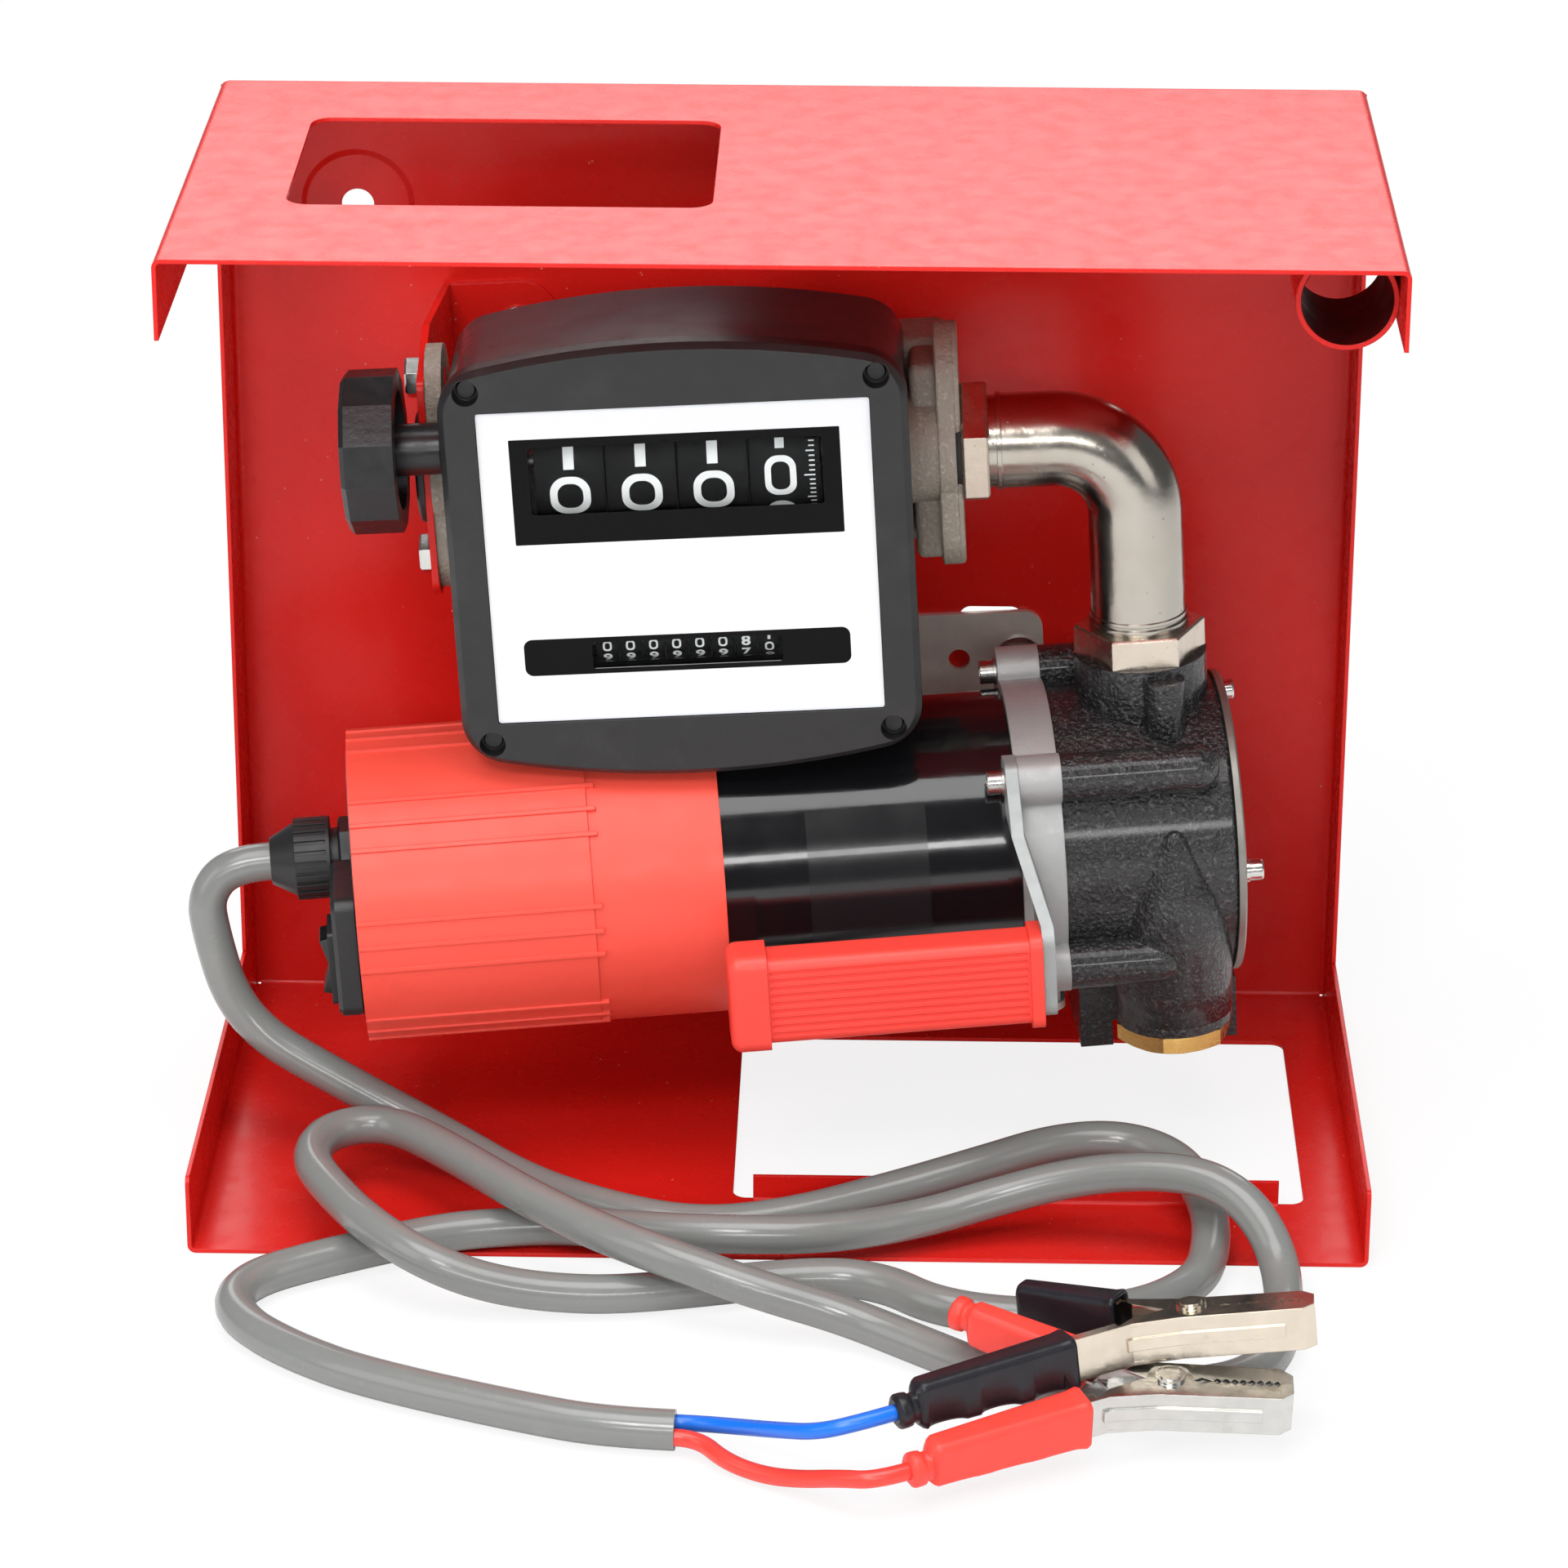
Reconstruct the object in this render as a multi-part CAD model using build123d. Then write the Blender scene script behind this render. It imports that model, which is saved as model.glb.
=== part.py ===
from build123d import *
import os
from math import cos, pi, radians, sin, sqrt, tan

# A diesel transfer pump in an open cabinet of folded sheet: a vane pump on a
# 12 V motor, an elbow up to a mechanical litre meter, a holder for the nozzle,
# and a loose cable that ends in two battery clamps.
# Millimetres. X to the right, Y towards the wall, Z up. The origin is on the
# surface that the cabinet stands on, under the middle of its box.

# Cabinet
SHEET = 1.5
BEND_R = 3.0
CAB_WIDTH = 420.0
CAB_HEIGHT = 367.0
ROOF_DEPTH = 216.0
TRAY_DEPTH = 226.5
ROOF_LIP = 28.5
WALL_FLANGE = 34.0
TRAY_FLANGE = 29.5
CORNER_GAP = 0.5
WINDOW_WIDTH = 147.0
WINDOW_DEPTH = 104.0
WINDOW_RIGHT = -24.7
WINDOW_FROM_WALL = 49.0
WINDOW_R = 8.0
CUTOUT_LEFT = -17.0
CUTOUT_RIGHT = 190.0
CUTOUT_FROM_WALL = 44.5
CUTOUT_DEPTH = 136.5
CUTOUT_R = 5.0
TAB_LEFT = -9.6
TAB_RIGHT = 180.5
TAB_HEIGHT = 11.0
WALL_HOLE_R = 6.0
WALL_HOLE_X = 160.8
WALL_HOLE_DROP = 47.0
WALL_SEAT_R = 21.0
WALL_SEAT_RISE = 1.0
SLOT_WIDTH = 24.0
SLOT_HEIGHT = 10.0
SLOT_X = 76.0
SLOT_Z = 157.6

# Nozzle holder, a piece of tube welded under the roof
HOLDER_R = 17.5
HOLDER_WALL = 1.8
HOLDER_LENGTH = 50.0
HOLDER_SETBACK = 26.0

# The pump, the elbow and the meter hang together, tilted in the cabinet
ASSEMBLY_TILT = 3.3
PUMP_YAW = 5.0
PUMP_X = 127.5
PUMP_Z = 119.5
PUMP_FROM_WALL = 110.0

# Pump body
DRUM_R = 54.0
DRUM_LEFT = -30.5
DRUM_RIGHT = 31.5
CHAMBER_R = 33.0
CHAMBER_WIDTH = 36.0
CHAMBER_LIFT = 3.0
OUTLET_X = 4.5
OUTLET_BOSS_R = 24.0
OUTLET_TOP = 69.5
OUTLET_PORT_R = 13.5
INLET_X = 9.0
INLET_Y = -33.0
INLET_R = 21.2
INLET_BOTTOM = -61.5
INLET_PASSAGE_R = 13.0
INLET_DOME_Z = -6.0
SIDE_PASSAGE_R = 9.0
SIDE_PASSAGE_DROP = 12.0
SIDE_PASSAGE_END = -16.5
FOOT_DEPTH = 44.0
FOOT_BOTTOM = -84.0
FOOT_LEFT = -23.0
FOOT_RIGHT = 35.0
COVER_THICK = 2.8
COVER_SCREWS = 3
COVER_SCREW_CIRCLE = 47.5
COVER_SCREW_R = 2.5
COVER_SCREW_DEPTH = 10.0
COVER_WASHER_R = 4.4
COVER_WASHER = 1.6
COVER_HEAD_R = 3.9
COVER_HEAD = 5.0
BUSH_AF = 38.0
BUSH_BORE_R = 15.15
BUSH_HEX = 7.0
BUSH_THREAD_R = 18.4
BUSH_THREAD_LENGTH = 14.0

# Vane rotor on the motor shaft
ROTOR_R = 29.6
ROTOR_WIDTH = 35.4
SHAFT_R = 7.0
VANES = 5
VANE_THICK = 4.0
VANE_HEIGHT = 11.0
SLOT_PLAY = 0.1

# Bypass valve behind the outlet boss
BYPASS_Z = 55.0
BYPASS_BORE_R = 7.0
POPPET_R = 6.9
POPPET_LENGTH = 12.0
POPPET_FRONT = 15.5
SPRING_WIRE_R = 0.8
POPPET_FLOOR = 4.0
SPRING_COIL_R = 4.6
SPRING_TURNS = 5
SPRING_END = 39.0
BYPASS_TRAVEL = 3.0
BYPASS_PLAY = 0.3
PLUG_AF = 17.0

# Motor
FLANGE_LEFT = -46.0
FLANGE_R = 57.0
FLANGE_LUGS = 5
LUG_FIRST = -30.0
LUG_CIRCLE = 60.0
LUG_R = 8.6
SCREW_M5_R = 2.5
CAN_R = 54.0
CAN_WALL = 3.0
CAN_LEFT = -262.0
SPIGOT = 4.0
BEARING_R = 16.0
BEARING_WIDTH = 9.0
MAGNET_LENGTH = 110.0
MAGNET_THICK = 8.0
MAGNET_ANGLE = 130.0
ARMATURE_R = 40.0
ARMATURE_SLOTS = 12
CAP_LEFT = -284.0
SLEEVE_LEFT = -283.5
SLEEVE_RIGHT = -152.0
SLEEVE_GAP = 0.2
SLEEVE_WALL = 1.7
SLEEVE_STEP_X = -199.0
SLEEVE_STEP = 0.9
RIB_GROUPS = 8
RIBS_IN_GROUP = 3
RIB_PITCH = 9.4
RIB_WIDTH = 1.6
RIB_HEIGHT = 0.8

# Switch and cable gland on the end of the motor
SWITCH_BOX_LEFT = -292.5
SWITCH_BOX_WIDTH = 42.0
SWITCH_BOX_HEIGHT = 46.0
SWITCH_BOX_Y = -30.0
SWITCH_BOX_Z = -7.0
ROCKER_WIDTH = 13.0
ROCKER_HEIGHT = 22.0
ROCKER_Z = -15.0
ROCKER_PIN_R = 1.2
ROCKER_PIN = 1.4
ROCKER_PLAY = 0.5
GLAND_Y = 6.0
GLAND_Z = 9.5
GLAND_NUT_R = 15.0
CABLE_R = 7.0

# Carrying handle
HANDLE_THICK = 4.5
HANDLE_Y = -85.0
HANDLE_Z = -17.0
HANDLE_JOGGLE = 7.0
GRIP_LEFT = -154.5
GRIP_RIGHT = FLANGE_LEFT - HANDLE_THICK + HANDLE_JOGGLE
GRIP_HEIGHT = 32.5
GRIP_DEPTH = 17.0
GRIP_CAP = 37.0

# Elbow and its nuts, one inch pipe
PIPE_R = 17.0
PIPE_WALL = 3.6
ELBOW_R = 28.5
FLOW_Z = 151.5
NUT_AF = 41.0
LOW_NUT_HEIGHT = 11.0
METER_NUT_WIDTH = 12.4
SEAL_THICK = 2.0

# Meter
METER_X = -155.5
METER_Z = 131.0
CASE_WIDTH = 163.0
CASE_HEIGHT = 161.0
CASE_CORNER_R = 17.0
CASE_CROWN = 10.0
CASE_WALL = 3.0
CASE_FRONT = -55.0
CASE_REAR = 13.0
BEZEL_DEPTH = 9.0
FACE_WIDTH = 136.6
FACE_HEIGHT = 115.8
FACE_THICK = 1.2
FACE_RECESS = 1.0
WINDOW_W = 104.0
WINDOW_H = 28.5
WINDOW_UP = 33.2
TOTAL_W = 68.0
TOTAL_H = 10.5
TOTAL_UP = -33.7
GLASS_THICK = 1.5
SCREW_HOLE_R = 4.6
SCREW_HOLE_X = 71.1
SCREW_HOLE_Z = 65.7
WHEELS_UP = 28.2
WHEEL_R = 27.5
WHEEL_OUT = 2.0
WHEEL_PLAY = 3.0
WHEEL_WIDTH = 24.4
WHEEL_PITCH = 25.1
TOTAL_WHEEL_R = 7.5
TOTAL_WHEEL_OUT = 1.0
TOTAL_WHEEL_WIDTH = 7.6
TOTAL_PITCH = 8.17
TOTAL_WHEELS = 8
AXLE_R = 3.0
RUN_CLEARANCE = 0.05
BODY_LEFT = -244.5
BODY_RIGHT = -58.3
PORT_R = 21.0
METER_FLANGE = 6.0
METER_FLANGE_HEIGHT = 90.0
METER_BOLTS = 66.7
CHAMBER_FRONT = 9.0
CHAMBER_REAR = 50.0
METER_CHAMBER_R = 66.0
KNOB_R = 29.0
KNOB_FLATS = 12
KNOB_LEFT = -272.0
KNOB_RIGHT = -253.0
KNOB_Y = -30.0
KNOB_Z = 168.5
KNOB_HUB_R = 9.2

# The cable's route, from the gland to its cut end, laid by hand as it lies in
# the photograph: down to the tray, over the turned-up tab, round under the
# clamps, round the small loop on top, and round the large loop
GLAND_TIP = 22.0
EXIT_RUN = 15.0
CABLE_ROUTE = [
    (-210.6, -22.6, 98.6), (-208, -24.5, 82.9), (-202, -28, 62), (-190, -31, 47), (-169, -36, 36),
    (-121, -48, 14.2), (-93, -71, 8.8), (-63, -92, 8.8), (-30, -105, 8.8), (2, -98, 8.8),
    (40, -82, 12), (72, -74, 18.8), (101, -58, 21), (126, -55.5, 21), (144.5, -69.5, 20),
    (153.5, -91, 15), (154.7, -111, 9), (149.5, -138, 7), (128, -160, 7), (92, -168, 7),
    (57.5, -161, 7), (37, -141, 7), (11, -138, 7), (-50, -154, 7), (-79, -155.5, 8.2),
    (-102, -157, 13), (-122, -154.5, 20), (-143, -136, 24), (-158, -110, 24), (-168.5, -87, 24),
    (-166, -67.5, 24.3), (-154, -57.8, 24.5), (-139, -59, 24.5), (-121, -77.5, 25), (-87, -119, 26), (-60, -144, 25.5),
    (-33, -161, 24), (-5, -170, 18), (24, -172, 10), (49, -186.5, 7), (87, -217, 7),
    (111, -222.5, 7), (140, -216.5, 7), (163, -208, 7), (174, -186, 7), (177.5, -158, 7.5),
    (177, -139, 14), (171.5, -128, 24), (162, -117.5, 31), (148.5, -109.5, 34), (128, -102.5, 32),
    (104, -97, 26), (78, -97, 18), (52, -104, 12.5), (20, -119.5, 14), (-12, -125, 16),
    (-44, -117.5, 13), (-73.5, -105.5, 9), (-99.5, -107.5, 8.8), (-122.5, -113, 8.8), (-170, -135, 7),
    (-185, -148, 7), (-189, -164, 7), (-181, -181, 7), (-163, -198.5, 7), (-137, -216, 7),
    (-80, -239.5, 7), (-53.5, -247.5, 7), (-31, -249, 7)]
ARC_SHARE = 0.45

# Leads and battery clamps
LEAD_BLUE_R = 2.8
LEAD_RED_R = 3.0
LEAD_SPREAD = 3.3
LEAD_FIRST_RUN = 8.0
LEAD_LAST_RUN = 12.0
BLUE_MIDDLE = [(-9.5, -255.2, 12), (3, -269.4, 19), (16.7, -282.2, 25.5)]
RED_MIDDLE = [(-13.7, -264.7, 4.2), (-1.5, -272, 3.4), (10.5, -279, 6), (24.5, -288.5, 12)]
CLAMP_SHEET = 1.2
CLAMP_HEIGHT = 15.0
CLAMP_PLAY = 0.3
JAW_LENGTH = 41.0
JAW_HALF = 9.7
HANDLE_ANGLE = 28.0
HANDLE_KNEE = 20.0
RIVET_R = 2.5
RIVET_HEAD_R = 5.0
EAR_R = 7.5
TEETH = 8
GRIP_TALL = 17.5
GRIP_WIDE = 10.5
COLLAR_LENGTH = 8.0
COIL_WIRE_R = 0.65
COIL_R = 4.4
COIL_TURNS = 3.5
COIL_PITCH = 1.8
COIL_LEG = 8.0

# Each grip's start along its handle, and its length
BLACK_FRONT = (22.0, 58.0)
BLACK_REAR = (3.0, 40.0)
RED_FRONT = (8.0, 58.0)
RED_REAR = (8.0, 44.0)

# Brackets and their studs
METER_BRACKET_THICK = 2.5
PUMP_BRACKET_THICK = 3.0
PUMP_PLATE_LEFT = -112.0
PUMP_PLATE_RIGHT = -29.7
PUMP_PLATE_TOP = 44.4
SHELF_Z = -61.4
SHELF_LEFT = -68.0
SHELF_RIGHT = -27.5
SHELF_FRONT = -20.0
STUD_R = 3.0
STUD_HOLE_R = 4.1
WASHER_R = 9.5
WASHER_THICK = 1.6
STUD_NUT_AF = 10.0
STUD_NUT_HEIGHT = 5.0
STUD_LENGTH = 13.0

# Placing frames: the straight assembly, and the pump turned on the elbow's axis
WALL_BACK = TRAY_DEPTH / 2
WALL_FACE = PUMP_FROM_WALL - SHEET
TILTED = Location((PUMP_X, WALL_BACK - PUMP_FROM_WALL, PUMP_Z)) * Rot(0, -ASSEMBLY_TILT, 0)
PUMP = TILTED * Rot(0, 0, PUMP_YAW)
METER = TILTED * Pos(METER_X, 0, METER_Z)
BLACK = Pos(141.7, -228, 37.5) * Rot(-5, 0, 0) * Rot(0, -6.5, 0) * Rot(0, 0, -3)
RED = Pos(133.5, -244.5, 20.2) * Rot(9, 0, 0) * Rot(0, 1, 0) * Rot(0, 0, -2)


def rod_x(r, x0, x1, y=0.0, z=0.0):
    return Pos((x0 + x1) / 2, y, z) * Rot(0, 90, 0) * Cylinder(r, x1 - x0)


def rod_y(r, y0, y1, x=0.0, z=0.0):
    return Pos(x, (y0 + y1) / 2, z) * Rot(90, 0, 0) * Cylinder(r, y1 - y0)


def rod_z(r, z0, z1, x=0.0, y=0.0):
    return Pos(x, y, (z0 + z1) / 2) * Cylinder(r, z1 - z0)


def block(x0, x1, y0, y1, z0, z1):
    return Pos((x0 + x1) / 2, (y0 + y1) / 2, (z0 + z1) / 2) * Box(x1 - x0, y1 - y0, z1 - z0)


def prism_x(sketch, x0, x1):
    """A sketch drawn as (Y, Z), pulled along X."""
    return extrude(Plane((x0, 0, 0), x_dir=(0, 1, 0), z_dir=(1, 0, 0)) * sketch, x1 - x0)


def prism_y(sketch, y0, y1):
    """A sketch drawn as (X, Z), pulled along Y."""
    plane = Plane((0, y1, 0), x_dir=(1, 0, 0), z_dir=(0, -1, 0))
    return extrude(plane * sketch, y1 - y0)


def hexagon(across_flats):
    return RegularPolygon(across_flats / 2, 6, major_radius=False)


def plate_sketch(points, r):
    """A plate's outline with its corners rounded."""
    face = make_face(Polyline(points, close=True))
    return fillet(face.vertices(), r) if r else face


# Cabinet


def bent_strip(length, leg):
    """A fold on a panel's edge: the panel ends at X = 0, its outer face is down
    and the strip turns up to the height of leg. It runs along Y."""
    ring = Circle(BEND_R) - Circle(BEND_R - SHEET)
    bend = Pos(0, BEND_R) * (ring & (Pos(BEND_R / 2, -BEND_R / 2) * Rectangle(BEND_R, BEND_R)))
    upright = Pos(BEND_R - SHEET / 2, (leg + BEND_R) / 2) * Rectangle(SHEET, leg - BEND_R)
    return prism_y(bend + upright, 0, length)


def side_pair(strip):
    return strip + mirror(strip, Plane.YZ)


def cabinet_profile():
    """Roof, wall and tray as one bent strip, drawn as (Y, Z)."""
    roof_front = WALL_BACK - ROOF_DEPTH
    tray_front = WALL_BACK - TRAY_DEPTH
    outer = [(roof_front, CAB_HEIGHT), (WALL_BACK, CAB_HEIGHT), (WALL_BACK, 0), (tray_front, 0)]
    inner = [(tray_front, SHEET), (WALL_BACK - SHEET, SHEET),
             (WALL_BACK - SHEET, CAB_HEIGHT - SHEET), (roof_front, CAB_HEIGHT - SHEET)]
    face = make_face(Polyline(outer + inner, close=True))
    back = face.vertices().filter_by(lambda v: v.X > WALL_BACK - SHEET / 2)
    face = fillet(back, BEND_R)
    inside = face.vertices().filter_by(lambda v: abs(v.X - WALL_BACK + SHEET) < 0.01
                                       and v.Z + v.Y > 0 and SHEET / 2 < v.Y < CAB_HEIGHT)
    corners = [v for v in inside if min(abs(v.Y - SHEET), abs(v.Y - CAB_HEIGHT + SHEET)) < 0.01]
    return fillet(corners, BEND_R - SHEET)


def wall_seat(x):
    """A round pressed seat with the hole for a wall screw."""
    front = WALL_BACK - SHEET
    pad = Cone(WALL_SEAT_R, WALL_SEAT_R - 2 * WALL_SEAT_RISE, WALL_SEAT_RISE)
    turned = Rot(90, 0, 0) * pad
    z = CAB_HEIGHT - WALL_HOLE_DROP
    raised = Pos(x, front - WALL_SEAT_RISE / 2, z) * turned
    sunk = Pos(x, WALL_BACK - WALL_SEAT_RISE / 2, z) * turned
    hole = rod_y(WALL_HOLE_R, front - 3 * SHEET, WALL_BACK + SHEET, x, z)
    return raised, sunk, hole


def cabinet_shell():
    flat_half = CAB_WIDTH / 2 - BEND_R
    shell = prism_x(cabinet_profile(), -flat_half, flat_half)
    tray_front = WALL_BACK - TRAY_DEPTH
    roof_front = WALL_BACK - ROOF_DEPTH
    tray_side = Pos(flat_half, tray_front, 0) * bent_strip(TRAY_DEPTH - BEND_R, TRAY_FLANGE)
    corner = tray_side.edges().filter_by(Axis.X).group_by(Axis.Y)[0].sort_by(Axis.Z)[-1]
    tray_side = fillet(corner, 2 * SHEET)
    roof_side = Pos(flat_half, roof_front, 0) * bent_strip(ROOF_DEPTH - BEND_R, ROOF_LIP)
    roof_side = Pos(0, 0, CAB_HEIGHT) * mirror(roof_side, Plane.XY)
    wall_low = TRAY_FLANGE + CORNER_GAP
    wall_high = CAB_HEIGHT - ROOF_LIP - CORNER_GAP
    upright = Rot(90, 0, 0) * bent_strip(wall_high - wall_low, WALL_FLANGE)
    wall_side = Pos(flat_half, WALL_BACK, wall_low) * upright
    shell += side_pair(tray_side)
    shell += side_pair(roof_side)
    shell += side_pair(wall_side)
    window = extrude(RectangleRounded(WINDOW_WIDTH, WINDOW_DEPTH, WINDOW_R), 4 * SHEET)
    window_y = WALL_BACK - WINDOW_FROM_WALL - WINDOW_DEPTH / 2
    shell -= Pos(WINDOW_RIGHT - WINDOW_WIDTH / 2, window_y, CAB_HEIGHT - 2 * SHEET) * window
    cut_width = CUTOUT_RIGHT - CUTOUT_LEFT
    cut_mid_x = (CUTOUT_RIGHT + CUTOUT_LEFT) / 2
    cut_front = WALL_BACK - CUTOUT_FROM_WALL - CUTOUT_DEPTH
    cutout = extrude(RectangleRounded(cut_width, CUTOUT_DEPTH, CUTOUT_R), 4 * SHEET)
    shell -= Pos(cut_mid_x, cut_front + CUTOUT_DEPTH / 2, -SHEET) * cutout
    tab_width = TAB_RIGHT - TAB_LEFT
    shell -= block(TAB_LEFT, TAB_RIGHT, cut_front - BEND_R, cut_front + BEND_R, -SHEET, 3 * SHEET)
    tab = Rot(0, 0, 90) * bent_strip(tab_width, TAB_HEIGHT)
    shell += Pos(TAB_RIGHT, cut_front - BEND_R, 0) * tab
    for x in (-WALL_HOLE_X, WALL_HOLE_X):
        raised, sunk, hole = wall_seat(x)
        shell = shell + raised - sunk - hole
    slot = RectangleRounded(SLOT_WIDTH, SLOT_HEIGHT, SLOT_HEIGHT / 2 - 0.5)
    shell -= prism_y(Pos(SLOT_X, SLOT_Z) * slot, WALL_BACK - 3 * SHEET, WALL_BACK + SHEET)
    return shell


def nozzle_holder():
    x = CAB_WIDTH / 2 - SHEET - HOLDER_R
    z = CAB_HEIGHT - SHEET - HOLDER_R
    front = WALL_BACK - ROOF_DEPTH + HOLDER_SETBACK
    tube = rod_y(HOLDER_R, front, front + HOLDER_LENGTH, x, z)
    return tube - rod_y(HOLDER_R - HOLDER_WALL, front - 1, front + HOLDER_LENGTH + 1, x, z)


# Brackets


def meter_bracket():
    """A bent plate: a foot on the wall and a web that carries the meter's flange."""
    web_right = BODY_LEFT
    web_left = web_right - METER_BRACKET_THICK
    half = METER_FLANGE_HEIGHT / 2
    outline = [(WALL_FACE, FLOW_Z - half), (WALL_FACE, FLOW_Z + half - 12),
               (PORT_R, FLOW_Z + half + 1), (2 - PORT_R, FLOW_Z + half - 8),
               (2 - PORT_R, FLOW_Z - half + 6), (10 - PORT_R, FLOW_Z - half)]
    web = prism_x(plate_sketch(outline, 4.0), web_left, web_right)
    foot_right = web_left + 42.0
    foot = [(web_left, FLOW_Z - half), (web_left, FLOW_Z + half - 12),
            (foot_right, FLOW_Z + half - 12), (foot_right, FLOW_Z - half)]
    foot_plate = plate_sketch(foot, 0)
    right = foot_plate.vertices().group_by(Axis.X)[-1]
    foot_plate = fillet(right, 14.0)
    plate = web + prism_y(foot_plate, WALL_FACE - METER_BRACKET_THICK, WALL_FACE)
    plate -= rod_x(PORT_R - 2.5, web_left - 1, web_right + 1, 0, FLOW_Z)
    for side in (-1, 1):
        z = FLOW_Z + side * METER_BOLTS / 2
        plate -= rod_x(4.2, web_left - 1, web_right + 1, 0, z)
    for x, z in meter_studs():
        plate -= rod_y(STUD_HOLE_R, WALL_FACE - 9, WALL_FACE + 1, x, z)
    return plate


def meter_studs():
    x = BODY_LEFT - METER_BRACKET_THICK + 27.0
    return [(x, FLOW_Z - 26.0), (x, FLOW_Z + 14.0)]


def pump_studs():
    return [(x, z) for x in (PUMP_PLATE_LEFT + 11.0, PUMP_PLATE_RIGHT - 9.3) for z in (-32.0, 25.3)]


def pump_bracket():
    """A zinc plate on the wall, with a shelf under the motor flange and two gussets."""
    back = WALL_FACE
    front = back - PUMP_BRACKET_THICK
    low = SHELF_Z - PUMP_BRACKET_THICK
    plate = plate_sketch([(PUMP_PLATE_LEFT, low), (PUMP_PLATE_LEFT, PUMP_PLATE_TOP),
                          (PUMP_PLATE_RIGHT, PUMP_PLATE_TOP), (PUMP_PLATE_RIGHT, low)], 0)
    plate = fillet(plate.vertices().group_by(Axis.Y)[-1], 7.0)
    bracket = prism_y(plate, front, back)
    for x, z in pump_studs():
        bracket -= rod_y(STUD_HOLE_R, front - 1, back + 1, x, z)
    spare_x = PUMP_PLATE_RIGHT - 32.2
    bracket -= rod_y(STUD_HOLE_R, front - 1, back + 1, spare_x, 26.0)
    shelf = block(SHELF_LEFT, SHELF_RIGHT, SHELF_FRONT, back, low, SHELF_Z)
    corners = shelf.edges().filter_by(Axis.Z).group_by(Axis.Y)[0]
    bracket += fillet(corners, 6.0)
    for x in (SHELF_LEFT, SHELF_RIGHT - PUMP_BRACKET_THICK):
        web = make_face(Polyline([(back, low), (back, SHELF_Z + 24), (62, SHELF_Z), (62, low)], close=True))
        bracket += prism_x(web, x, x + PUMP_BRACKET_THICK)
    y, z = lug_place(lug_angles()[-1])
    seat = rod_z(3.6, low - 1, SHELF_Z + 1, flange_bolt_x())
    seat += rod_x(6.0, FLANGE_LEFT - 7.5, FLANGE_LEFT + 0.5, y, z)
    bracket -= Rot(0, 0, PUMP_YAW) * seat
    return bracket


def flange_bolt_x():
    return (FLANGE_LEFT + DRUM_LEFT) / 2


def stud_set(x, z, plate):
    """A stud on the wall with its washer and nut on a plate of that thickness."""
    seat = WALL_FACE - plate
    stud = rod_y(STUD_R, WALL_FACE - STUD_LENGTH, WALL_FACE, x, z)
    washer_face = seat - WASHER_THICK
    washer = rod_y(WASHER_R, washer_face, seat, x, z) - rod_y(STUD_R + 0.2, washer_face - 1, seat + 1, x, z)
    nut = prism_y(Pos(x, z) * hexagon(STUD_NUT_AF), washer_face - STUD_NUT_HEIGHT, washer_face)
    nut = chamfer(nut.edges().group_by(Axis.Y)[0], 0.6)
    nut -= rod_y(STUD_R + 0.02, washer_face - STUD_NUT_HEIGHT - 1, washer_face + 1, x, z)
    return [stud, washer, nut]


def panel_fasteners():
    pieces = []
    for x, z in meter_studs():
        pieces += stud_set(x, z, METER_BRACKET_THICK)
    for x, z in pump_studs():
        pieces += stud_set(x, z, PUMP_BRACKET_THICK)
    return Compound(pieces)


def hex_bolt_x(x_seat, length, y, z, r=4.0, af=13.0, head=5.3):
    """A hex bolt whose head sits left of X = x_seat and whose shank runs right."""
    sketch = Pos(y, z) * Rot(0, 0, 30) * hexagon(af)
    bolt = prism_x(sketch, x_seat - head, x_seat)
    bolt = chamfer(bolt.edges().group_by(Axis.X)[0], 0.7)
    return bolt + rod_x(r, x_seat, x_seat + length, y, z)


def meter_mount_bolts():
    seat = BODY_LEFT - METER_BRACKET_THICK
    return Compound([hex_bolt_x(seat, METER_BRACKET_THICK + METER_FLANGE, 0, FLOW_Z + s * METER_BOLTS / 2)
                     for s in (-1, 1)])


# Pump


def lug_angles():
    return [LUG_FIRST + k * 360 / FLANGE_LUGS for k in range(FLANGE_LUGS)]


def lug_place(angle):
    """Where a lug lies, as (Y, Z); the angle starts at the front and goes up."""
    return -LUG_CIRCLE * cos(radians(angle)), LUG_CIRCLE * sin(radians(angle))


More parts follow.
